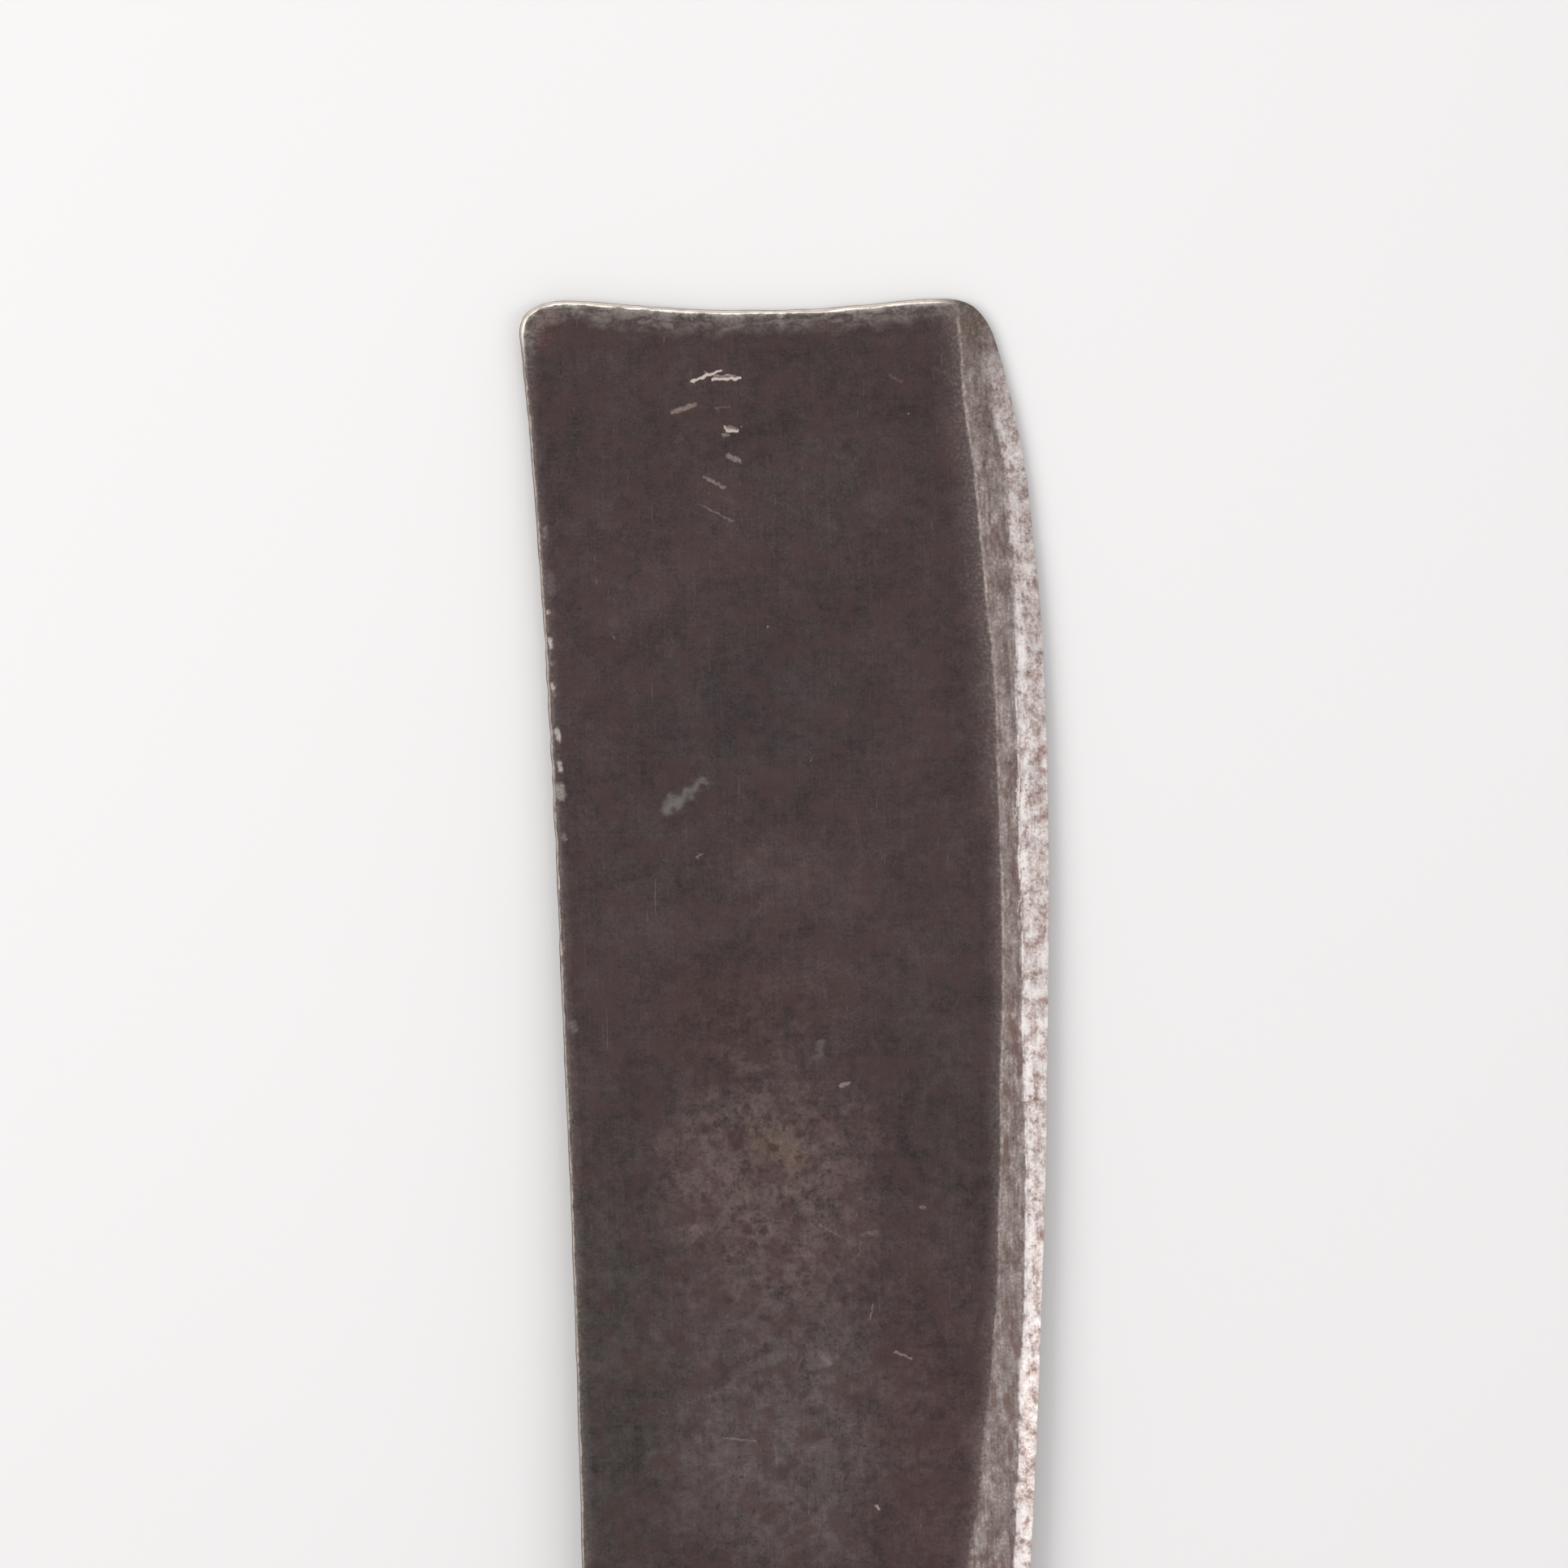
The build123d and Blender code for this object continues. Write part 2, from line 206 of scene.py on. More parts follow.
def mark_points(items):
    """Rows of points along and round each mark, close enough to carry its shape."""
    pts = []
    for (ax, ay), (bx, by), r, _ in items:
        dx, dy = bx - ax, by - ay
        span = math.hypot(dx, dy)
        ux, uy = (dx / span, dy / span) if span > 0.05 else (1.0, 0.0)
        for off in (0.0, 0.55, 1.0, 1.45, 1.9):
            n = max(2, int(span / max(0.30, 0.35 * r)) + 1)
            for t in np.linspace(0, span, n):
                for sgn in ((1,) if off == 0 else (1, -1)):
                    pts.append((ax + ux * t - uy * off * r * sgn, ay + uy * t + ux * off * r * sgn))
            if off:
                for cx, cy, a0 in ((ax, ay, math.pi / 2), (bx, by, -math.pi / 2)):
                    base = math.atan2(uy, ux) + a0
                    for k in range(1, 6):
                        a = base + math.pi * k / 6
                        pts.append((cx + off * r * math.cos(a), cy + off * r * math.sin(a)))
    pts = np.array(pts)
    _, first = np.unique(np.round(pts / 0.13).astype(int), axis=0, return_index=True)
    return pts[np.sort(first)]


class Slab:
    """A thin solid with a given outline: rings of quads round its rim and its holes, triangles between."""

    def __init__(self, outline, rings, shift, holes, hole_rings, lines, rows, spacing, keep_off=0.9):
        self.n = n = len(outline)
        t = np.roll(outline, -1, axis=0) - np.roll(outline, 1, axis=0)
        t /= np.linalg.norm(t, axis=1)[:, None]
        self.inward = np.stack([t[:, 1], -t[:, 0]], 1)
        depth = rings[-1]
        self.rings = rings
        pts, dist = [], []
        for d in rings:
            pts.append(outline + self.inward * (d + shift * (1 - d / depth) ** 2)[:, None])
            dist.append(np.full(n, d))
        self.hole_start = []
        hole_loops = []
        for cx, cy, r in holes:
            a = np.linspace(0, 2 * math.pi, 56, endpoint=False)
            self.hole_start.append(sum(len(p) for p in pts))
            for g in hole_rings:
                loop = np.stack([cx + (r + g) * np.cos(a), cy + (r + g) * np.sin(a)], 1)
                pts.append(loop)
                dist.append(np.full(56, 99.0))
            hole_loops.append(loop)
        inner = pts[len(rings) - 1]
        first = sum(len(p) for p in pts)
        # loops the triangles must keep to
        base, edges, ident = [], [], []

        def add_loop(loop, start):
            b = len(ident)
            base.extend(loop.tolist())
            ident.extend(range(start, start + len(loop)))
            edges.extend((b + i, b + (i + 1) % len(loop)) for i in range(len(loop)))

        add_loop(inner, n * (len(rings) - 1))
        for s, loop in zip(self.hole_start, hole_loops):
            add_loop(loop, s + 56 * (len(hole_rings) - 1))
        fixed = np.array(base)

        def free(p, gap):
            ok = inside(p, inner) & (nearest(p, fixed) > gap)
            for cx, cy, r in holes:
                ok &= np.hypot(p[:, 0] - cx, p[:, 1] - cy) > r + hole_rings[-1] + gap
            return ok

        taken = [fixed]
        for line in lines:
            ok = free(line, 0.35)
            b = len(base)
            for i, (p, k) in enumerate(zip(line, ok)):
                if k:
                    if i and ok[i - 1]:
                        edges.append((len(base) - 1, len(base)))
                    base.append(p.tolist())
                    ident.append(-1)
            taken.append(line[ok])
        for row in rows:
            ok = free(row, 0.45)
            base.extend(row[ok].tolist())
            ident.extend([-1] * int(ok.sum()))
            taken.append(row[ok])
        taken = np.vstack(taken)
        lo, hi = outline.min(0), outline.max(0)
        gx, gy = np.meshgrid(np.arange(lo[0], hi[0], spacing), np.arange(lo[1], hi[1], spacing * 0.866))
        gx = gx + (np.arange(gx.shape[0]) % 2)[:, None] * spacing / 2
        grid = np.stack([gx.ravel(), gy.ravel()], 1)
        grid = grid + RNG.uniform(-0.18, 0.18, grid.shape) * spacing
        grid = grid[inside(grid, inner)]
        grid = grid[(nearest(grid, taken) > keep_off) & free(grid, keep_off)]
        base.extend(grid.tolist())
        ident.extend([-1] * len(grid))
        out = delaunay_2d_cdt([Vector(p) for p in base], edges, [], 0, 1e-5)
        ov, _, of, origin = out[0], out[1], out[2], out[3]
        ov = np.array([(v.x, v.y) for v in ov])
        of = np.array(of)
        mid = ov[of].mean(1)
        keep = inside(mid, inner)
        for cx, cy, r in holes:
            keep &= np.hypot(mid[:, 0] - cx, mid[:, 1] - cy) > r + hole_rings[-1] * 0.98
        of = of[keep]
        number = np.full(len(ov), -1)
        extra = []
        for i, o in enumerate(origin):
            known = [ident[k] for k in o if ident[k] >= 0]
            if known:
                number[i] = known[0]
            else:
                number[i] = first + len(extra)
                extra.append(i)
        self.xy = np.vstack(pts + [ov[extra]])
        self.d = np.concatenate(dist + [np.full(len(extra), 99.0)])
        tri = number[of]
        a, b, c = self.xy[tri[:, 0]], self.xy[tri[:, 1]], self.xy[tri[:, 2]]
        area = (b[:, 0] - a[:, 0]) * (c[:, 1] - a[:, 1]) - (b[:, 1] - a[:, 1]) * (c[:, 0] - a[:, 0])
        tri[area < 0] = tri[area < 0][:, ::-1]
        tri = tri[np.abs(area) > 1e-7]
        self.tris = tri
        quads = []
        i, j = np.arange(n), (np.arange(n) + 1) % n
        for k in range(len(rings) - 1):
            o, p = k * n, (k + 1) * n
            quads.append(np.stack([o + i, p + i, p + j, o + j], 1))
        i, j = np.arange(56), (np.arange(56) + 1) % 56
        for s in self.hole_start:
            for k in range(len(hole_rings) - 1):
                o, p = s + k * 56, s + (k + 1) * 56
                quads.append(np.stack([o + i, p + i, p + j, o + j], 1))
        quads = np.vstack(quads)
        a, b, c = self.xy[quads[:, 0]], self.xy[quads[:, 1]], self.xy[quads[:, 2]]
        area = (b[:, 0] - a[:, 0]) * (c[:, 1] - a[:, 1]) - (b[:, 1] - a[:, 1]) * (c[:, 0] - a[:, 0])
        quads[area < 0] = quads[area < 0][:, ::-1]
        self.quads = quads

    def solid(self, top, bottom, wall_rows=3):
        """Vertices and faces of the closed solid between two height fields, and each vertex's (x, y, d, side)."""
        m = len(self.xy)
        x, y = self.xy[:, 0], self.xy[:, 1]
        zt, zb = top(x, y, self.d), bottom(x, y, self.d)
        verts = [np.column_stack([x, y, zt]), np.column_stack([x, y, zb])]
        info = [np.column_stack([x, y, self.d, np.ones(m)]), np.column_stack([x, y, self.d, -np.ones(m)])]
        faces = [f.tolist() for f in self.tris] + [f.tolist() for f in self.quads]
        faces += [(f[::-1] + m).tolist() for f in self.tris] + [(f[::-1] + m).tolist() for f in self.quads]
        count = 2 * m
        loops = [(np.arange(self.n), True)] + [(np.arange(s, s + 56), False) for s in self.hole_start]
        for ids, outer in loops:
            levels = [ids]
            for k in range(1, wall_rows + 1):
                f = k / (wall_rows + 1)
                p = np.column_stack([x[ids], y[ids], zt[ids] * (1 - f) + zb[ids] * f])
                verts.append(p)
                info.append(np.column_stack([x[ids], y[ids], self.d[ids], np.full(len(ids), 1 - 2 * f)]))
                levels.append(np.arange(count, count + len(ids)))
                count += len(ids)
            levels.append(ids + m)
            q = self.xy[ids]
            turn = (q[:, 0] * np.roll(q[:, 1], -1) - np.roll(q[:, 0], -1) * q[:, 1]).sum()
            for k in range(len(levels) - 1):
                a, b = levels[k], levels[k + 1]
                f = np.stack([a, np.roll(a, -1), np.roll(b, -1), b], 1)
                if (turn > 0) == outer:
                    f = f[:, ::-1]
                faces += f.tolist()
        return np.vstack(verts), faces, np.vstack(info)


def make_object(name, verts, faces, material, attributes=None, side_z=12.0):
    mesh = bpy.data.meshes.new(name)
    mesh.from_pydata(laid(verts).tolist(), [], faces)
    mesh.polygons.foreach_set("use_smooth", [True] * len(mesh.polygons))
    pos = mesh.attributes.new("local_mm", "FLOAT_VECTOR", "POINT")
    pos.data.foreach_set("vector", np.asarray(verts, np.float32).ravel())
    for key, values in (attributes or {}).items():
        a = mesh.attributes.new(key, "FLOAT", "POINT")
        a.data.foreach_set("value", np.asarray(values, np.float32))
    mesh.materials.append(material)
    mesh.update()
    obj = bpy.data.objects.new(name, mesh)
    bpy.context.scene.collection.objects.link(obj)
    return obj


# ------------------------------------------------------------------ node materials
class Nodes:
    def __init__(self, name):
        self.material = bpy.data.materials.new(name)
        self.material.use_nodes = True
        self.tree = self.material.node_tree
        self.tree.nodes.clear()

    def put(self, kind, inputs=(), out=0, **props):
        node = self.tree.nodes.new(kind)
        for key, value in props.items():
            setattr(node, key, value)
        for key, value in (inputs.items() if isinstance(inputs, dict) else inputs):
            self.set(node.inputs[key], value)
        return node.outputs[out] if out is not None else node

    def set(self, socket, value):
        if isinstance(value, bpy.types.NodeSocket):
            self.tree.links.new(value, socket)
        else:
            socket.default_value = value

    def math(self, op, a, b=0.0, c=0.0, clamp=False):
        return self.put("ShaderNodeMath", {0: a, 1: b, 2: c}, operation=op, use_clamp=clamp)

    def vmath(self, op, a, b=(0, 0, 0), out=0):
        return self.put("ShaderNodeVectorMath", {0: a, 1: b}, operation=op, out=out)

    def add(self, a, b):
        return self.math("ADD", a, b)

    def mul(self, a, b):
        return self.math("MULTIPLY", a, b)

    def sub(self, a, b):
        return self.math("SUBTRACT", a, b)

    def high(self, a, b):
        return self.math("MAXIMUM", a, b)

    def attribute(self, name, out=2):
        return self.put("ShaderNodeAttribute", attribute_name=name, out=out)

    def step(self, value, lo, hi, out_lo=0.0, out_hi=1.0):
        """Smooth step from out_lo to out_hi as value goes from lo to hi."""
        return self.put("ShaderNodeMapRange", {0: value, 1: lo, 2: hi, 3: out_lo, 4: out_hi},
                        interpolation_type="SMOOTHSTEP")

    def line(self, value, lo, hi, out_lo=0.0, out_hi=1.0):
        return self.put("ShaderNodeMapRange", {0: value, 1: lo, 2: hi, 3: out_lo, 4: out_hi})

    def scaled(self, vector, factors):
        return self.vmath("MULTIPLY", vector, factors)

    def noise(self, vector, scale, detail=4.0, rough=0.55, distortion=0.0, stretch=None, offset=None, lac=2.0):
        if offset is not None or stretch is not None:
            stretch, offset = stretch or (1, 1, 1), offset or (0, 0, 0)
            vector = self.put("ShaderNodeMapping", {"Vector": vector, "Scale": stretch,
                                                    "Location": tuple(k * o for k, o in zip(stretch, offset))})
        return self.put("ShaderNodeTexNoise", {"Vector": vector, "Scale": scale, "Detail": detail,
                                               "Roughness": rough, "Distortion": distortion, "Lacunarity": lac})

    def voronoi(self, vector, scale, feature="F1", randomness=1.0, out=0):
        return self.put("ShaderNodeTexVoronoi", {"Vector": vector, "Scale": scale, "Randomness": randomness},
                        feature=feature, out=out)

    def mix(self, factor, a, b, blend="MIX"):
        node = self.tree.nodes.new("ShaderNodeMix")
        node.data_type = "RGBA"
        node.blend_type = blend
        self.set(node.inputs[0], factor)
        self.set(node.inputs[6], a if isinstance(a, bpy.types.NodeSocket) else (*a, 1.0))
        self.set(node.inputs[7], b if isinstance(b, bpy.types.NodeSocket) else (*b, 1.0))
        return node.outputs[2]

    def mixf(self, factor, a, b):
        node = self.tree.nodes.new("ShaderNodeMix")
        node.data_type = "FLOAT"
        self.set(node.inputs[0], factor)
        self.set(node.inputs[2], a)
        self.set(node.inputs[3], b)
        return node.outputs[0]

    def warp(self, vector, scale, reach, detail):
        """A wandering offset in x and y, up to about half of reach either way."""
        u = self.sub(self.noise(vector, scale, detail, 0.6), 0.5)
        v = self.sub(self.noise(vector, scale, detail, 0.6, offset=(19.0, 43.0, 71.0)), 0.5)
        return self.put("ShaderNodeCombineXYZ", {0: self.mul(u, reach), 1: self.mul(v, reach)})

    def brighter(self, colour, value):
        return self.put("ShaderNodeHueSaturation", {"Color": colour, "Value": value})

    def ramp(self, value, stops, interpolation="LINEAR"):
        node = self.tree.nodes.new("ShaderNodeValToRGB")
        node.color_ramp.interpolation = interpolation
        while len(node.color_ramp.elements) < len(stops):
            node.color_ramp.elements.new(0.5)
        for e, (at, colour) in zip(node.color_ramp.elements, stops):
            e.position = at
            e.color = (*colour, 1.0)
        self.set(node.inputs[0], value)
        return node.outputs[0]

    def finish(self, colour, metallic, roughness, height=None, bump=0.1, distance=0.001, **fixed):
        shader = self.tree.nodes.new("ShaderNodeBsdfPrincipled")
        self.set(shader.inputs["Base Color"], colour)
        self.set(shader.inputs["Metallic"], metallic)
        self.set(shader.inputs["Roughness"], roughness)
        for key, value in fixed.items():
            shader.inputs[key.replace("_", " ")].default_value = value
        if height is not None:
            normal = self.put("ShaderNodeBump", {"Strength": bump, "Distance": distance, "Height": height})
            self.set(shader.inputs["Normal"], normal)
        out = self.tree.nodes.new("ShaderNodeOutputMaterial")
        self.tree.links.new(shader.outputs[0], out.inputs[0])
        return self.material


def srgb(r, g, b):
    return tuple(v / 3294.6 if v <= 10 else ((v / 255 + 0.055) / 1.055) ** 2.4 for v in (r, g, b))


# Tints of the upper flat: centre, half size, colour, strength
PATCHES = [((8, 62), (24, 92), (73, 67, 63), 0.65), ((46, 56), (36, 46), (101, 89, 87), 0.92),
           ((80, 52), (24, 74), (84, 64, 63), 0.80), ((44, 108), (33, 34), (104, 87, 83), 0.82),
           ((84, 125), (22, 60), (72, 60, 60), 0.60), ((46, 176), (20, 20), (88, 73, 71), 0.60),
           ((46, 214), (38, 24), (66, 56, 57), 0.60), ((30, 250), (30, 22), (84, 66, 66), 0.35),
           ((60, 262), (26, 20), (80, 72, 71), 0.35), ((68, 158), (18, 22), (84, 68, 68), 0.35),
           ((18, 172), (16, 30), (80, 70, 68), 0.35), ((1.9, 299.7), (6, 6), (98, 66, 62), 0.75),
           ((36, 146), (25, 20), (76, 57, 53), 0.60), ((62, 150), (13, 15), (86, 70, 67), 0.40),
           ((45, 118), (9, 8), (108, 89, 74), 0.55), ((45, 8), (46, 22), (76, 62, 58), 0.55)]
# Small marks of the upper flat: ends, radius, strength
BRIGHT = [((33.9, 286.0), (36.8, 286.9), 0.30, 1.00), ((36.1, 286.8), (40.3, 288.1), 0.28, 1.00),
          ((38.6, 286.3), (44.5, 286.3), 0.33, 1.00), ((39.0, 287.0), (43.6, 287.0), 0.24, 0.50),
          ((41.2, 274.8), (43.5, 274.7), 0.28, 0.90), ((40.9, 275.7), (41.4, 274.8), 0.26, 0.80),
          ((101.0, 166.5), (103.1, 173.6), 0.12, 0.9), ((101.8, 160.1), (103.2, 168.6), 0.12, 0.9),
          ((102.2, 151.5), (103.6, 160.7), 0.12, 0.9), ((101.4, 186.9), (102.3, 195.8), 0.14, 0.9)]
DULL = [((29.6, 279.4), (34.4, 280.8), 0.58, 0.55), ((38.7, 279.9), (42.1, 280.1), 0.23, 0.30),
        ((41.0, 275.5), (43.3, 275.1), 0.61, 0.55), ((40.4, 273.8), (41.5, 273.9), 0.42, 0.55),
        ((41.3, 269.3), (43.8, 268.1), 0.58, 0.55), ((36.0, 264.8), (40.2, 262.3), 0.48, 0.50),
        ((34.7, 258.8), (41.8, 254.9), 0.20, 0.40), ((30.0, 272.9), (31.3, 273.4), 0.71, 0.20),
        ((36.9, 261.2), (36.9, 261.2), 0.39, 0.25), ((44.4, 275.6), (44.6, 275.7), 0.32, 0.35),
        ((22.0, 228.0), (34.0, 228.1), 0.18, 0.16), ((33.3, 224.4), (48.3, 227.5), 0.16, 0.16),
        ((30.8, 181.4), (32.4, 181.9), 0.18, 0.45), ((14.8, 230.1), (14.8, 230.1), 0.21, 0.60),
        ((48.6, 231.3), (48.6, 231.3), 0.21, 0.70), ((56.8, 201.5), (56.8, 201.5), 0.18, 0.60),
        ((60.8, 130.0), (62.4, 130.5), 0.46, 0.60), ((70.4, 71.4), (73.9, 69.8), 0.26, 0.55),
        ((32.0, 54.1), (39.3, 53.1), 0.20, 0.45), ((65.9, 81.9), (65.5, 79.6), 0.18, 0.50),
        ((65.1, 37.8), (65.6, 37.1), 0.34, 0.80), ((54.3, 71.1), (56.0, 69.3), 0.57, 0.32),
        ((63.8, 97.2), (67.4, 97.8), 0.45, 0.28), ((55.0, 99.7), (59.4, 97.0), 0.29, 0.32),
        ((63.8, 95.4), (63.3, 92.7), 0.36, 0.28), ((28.9, 98.9), (29.3, 99.6), 0.36, 0.30),
        ((77.5, 285.7), (80.3, 284.2), 0.36, 0.26), ((88.1, 286.6), (89.8, 285.6), 0.36, 0.22),
        ((81.5, 277.0), (81.5, 277.0), 0.22, 0.90), ((77.5, 102.8), (77.9, 102.5), 0.42, 0.45)]
PALE = [((25.0, 192.3), (27.9, 194.2), 1.50, 0.85), ((28.3, 194.2), (32.7, 197.9), 1.10, 0.75),
        ((56.1, 136.8), (56.9, 139.6), 0.80, 0.50), ((42.3, 70.1), (44.6, 71.5), 1.70, 0.45),
        ((54.2, 69.0), (57.5, 71.0), 1.10, 0.35), ((44.6, 107.8), (46.0, 106.8), 1.10, 0.28),
        ((64.2, 96.8), (67.4, 97.4), 1.10, 0.28), ((18.0, 141.0), (20.0, 143.0), 1.60, 0.18)]
RUST = [(39.9, 125.5, 1.07), (42.1, 120.7, 0.89), (50.0, 122.7, 1.25), (55.1, 126.7, 1.07), (54.1, 122.1, 1.07),
        (57.2, 123.2, 0.89), (45.5, 117.0, 0.89), (47.1, 113.6, 0.71), (51.1, 115.0, 0.89), (39.4, 112.4, 1.07),
        (42.4, 112.0, 0.71), (39.3, 99.0, 1.07), (42.5, 98.6, 1.07), (40.6, 95.8, 0.89), (59.4, 131.7, 0.54),
        (30.8, 121.7, 1.43), (37.0, 118.8, 1.79), (28.9, 95.9, 1.43), (33.6, 67.6, 1.07), (40.3, 65.0, 1.25),
        (42.2, 73.4, 0.71), (52.0, 67.3, 0.71), (51.1, 90.5, 1.25), (59.7, 83.1, 1.07), (34.7, 84.0, 1.07),
        (30.2, 106.5, 1.25), (51.3, 120.0, 1.07), (48.3, 121.4, 0.71)]
# Burrs beside the nicks of the spine
BURRS = [((0.58, 230.6), (0.82, 228.5), 0.37, 0.90), ((0.68, 220.6), (1.02, 219.4), 0.41, 0.70),
         ((1.18, 218.3), (1.42, 217.9), 0.34, 0.50), ((1.38, 210.4), (1.92, 208.2), 0.48, 0.95),
         ((1.68, 203.1), (2.02, 201.5), 0.51, 0.95), ((1.58, 197.9), (1.92, 195.7), 1.09, 0.55),
         ((2.08, 187.2), (2.42, 186.4), 0.62, 0.40), ((2.58, 145.7), (2.72, 144.6), 1.15, 0.30),
         ((0.48, 254.8), (0.42, 253.0), 0.62, 0.35), ((1.18, 244.4), (1.32, 240.8), 1.38, 0.22),
         ((0.48, 236.7), (0.62, 236.0), 0.34, 0.70), ((0.68, 225.3), (0.82, 224.7), 0.52, 0.40)]


def steel():
    n = Nodes("blade_steel_worn")
    raw = n.attribute("local_mm", out=1)
    side = n.attribute("side")
    up = n.step(side, 0.1, 0.9)
    p = n.vmath("ADD", raw, n.put("ShaderNodeCombineXYZ", {2: n.mul(side, 60.0)}))
    xyz = n.put("ShaderNodeSeparateXYZ", {0: raw}, out=None)
    y = xyz.outputs[1]
    din, dmid, dedge, rim = (n.attribute(k) for k in ("from_inner", "from_middle", "from_edge", "rim"))
    flat = n.scaled(raw, (1, 1, 0))
    loose = n.vmath("ADD", flat, n.warp(p, 0.11, 26.0, 4.0))
    ragged0 = n.mul(n.sub(n.noise(p, 2.2, 4.0, 0.65, offset=(25, 3, 6)), 0.5), 0.9)

    def patch(centre, size):
        d = n.scaled(n.vmath("SUBTRACT", loose, (*centre, 0)), (1 / size[0], 1 / size[1], 0))
        return n.mul(n.step(n.vmath("LENGTH", d, out=1), 1.0, 0.25), up)

    def mark(name):
        value = n.attribute(name)
        return n.mul(n.step(n.add(value, n.mul(ragged0, n.step(value, 0.0, 0.4))), 0.05, 1.05), up)

    # dark patina of the flats
    cloud = n.sub(n.noise(p, 0.085, 5.0, 0.6, 0.3, offset=(31, 7, 3)), 0.5)
    mottle = n.sub(n.noise(p, 0.42, 5.0, 0.68, 0.2, offset=(5, 91, 17)), 0.5)
    grain = n.sub(n.noise(p, 1.7, 4.0, 0.68, offset=(55, 1, 7)), 0.5)
    grit = n.sub(n.noise(p, 5.0, 3.0, 0.6, offset=(15, 1, 7)), 0.5)
    up_streak = n.sub(n.noise(p, 1.0, 4.0, 0.65, stretch=(1.9, 0.05, 1.0), offset=(3, 5, 0)), 0.5)
    cross = n.sub(n.noise(p, 1.0, 3.0, 0.6, stretch=(0.05, 1.9, 1.0), offset=(9, 2, 4)), 0.5)
    low = n.step(y, 160.0, 105.0)
    base = srgb(72, 57, 57)
    face = n.mix(n.mul(n.sub(1.0, up), n.step(cloud, -0.12, 0.14)), base, srgb(86, 73, 69))
    blend = n.noise(p, 0.018, 3.0, 0.6, 0.4, offset=(7, 3, 9))
    face = n.mix(n.mul(n.sub(1.0, up), n.step(blend, 0.47, 0.60)), face, srgb(92, 82, 79))
    face = n.mix(n.mul(n.sub(1.0, up), n.step(blend, 0.46, 0.36)), face, srgb(80, 62, 59))
    for centre, size, tint, s in PATCHES:
        face = n.mix(n.mul(patch(centre, size), s), face, srgb(*tint))
    value = n.add(0.765, n.mul(cloud, 1.05))
    value = n.add(value, n.mul(mottle, n.mixf(low, 1.00, 1.60)))
    value = n.add(value, n.mul(grain, n.mixf(low, 1.20, 1.15)))
    value = n.add(value, n.mul(grit, 0.85))
    value = n.add(value, n.add(n.mul(up_streak, 0.42), n.mul(cross, 0.24)))
    near = n.mul(patch((46, 112), (30, 50)), 0.95)
    value = n.add(value, n.mul(near, n.add(n.mul(mottle, 1.1), n.mul(grain, 0.45))))
    face = n.brighter(face, n.high(value, 0.3))
    red = n.noise(p, 0.14, 5.0, 0.62, 0.4, offset=(77, 13, 9))
    face = n.mix(n.mul(n.step(red, 0.47, 0.62), n.mixf(low, 0.55, 0.60)), face, srgb(70, 50, 49))
    face = n.mix(n.mul(n.step(red, 0.48, 0.36), 0.08), face, srgb(70, 65, 63))
    pits = n.mul(n.step(n.noise(p, 0.75, 4.0, 0.6, offset=(41, 3, 9)), 0.615, 0.69), n.mixf(low, 0.12, 0.75))
    face = n.mix(pits, face, srgb(60, 44, 40))
    face = n.mix(n.mul(n.mul(n.step(n.noise(p, 0.30, 5.0, 0.66, offset=(12, 3, 9)), 0.48, 0.66), 0.45), near), face, srgb(112, 95, 89))
    dots = n.mul(n.mul(mark("dark"), n.step(n.add(grain, mottle), -0.20, 0.05, 0.45, 1.0)), 0.85)
    face = n.mix(dots, face, srgb(62, 41, 38))

    # handling wear just inside the spine, the tip and the bevel
    speck = n.step(n.noise(p, 1.35, 5.0, 0.72, offset=(21, 3, 33)), 0.44, 0.66)
    spread = n.noise(p, 0.16, 4.0, 0.6, offset=(61, 3, 3))
    at_tip = n.step(y, 288.0, 299.0)
    reach = n.mixf(at_tip, n.add(1.3, n.mul(spread, 3.6)), n.add(0.5, n.mul(spread, 13.0)))
    rubbed = n.math("MULTIPLY", n.sub(1.0, n.math("DIVIDE", rim, reach)), 1.0, clamp=True)
    wisp = n.step(n.noise(p, 0.42, 6.0, 0.70, 0.8, stretch=(0.6, 1.2, 1.0), offset=(71, 3, 33)), 0.40, 0.62)
    rubbed = n.mul(rubbed, n.add(n.mul(speck, n.mixf(at_tip, 0.70, 0.35)), n.mixf(at_tip, 0.30, n.add(0.10, n.mul(wisp, 0.75)))))
    face = n.mix(n.mul(rubbed, n.mixf(at_tip, 0.48, 1.0)), face, srgb(142, 134, 127))
    halo = n.math("MULTIPLY", n.add(1.0, n.math("DIVIDE", n.sub(din, 0.3), n.mul(n.add(1.4, n.mul(spread, 6.5)), n.step(y, 165.0, 205.0, 1.0, 1.75)))), 1.0, clamp=True)
    halo = n.mul(n.mul(halo, halo), n.add(0.30, n.mul(speck, 0.70)))
    face = n.mix(n.mul(halo, 0.80), face, srgb(140, 127, 121))

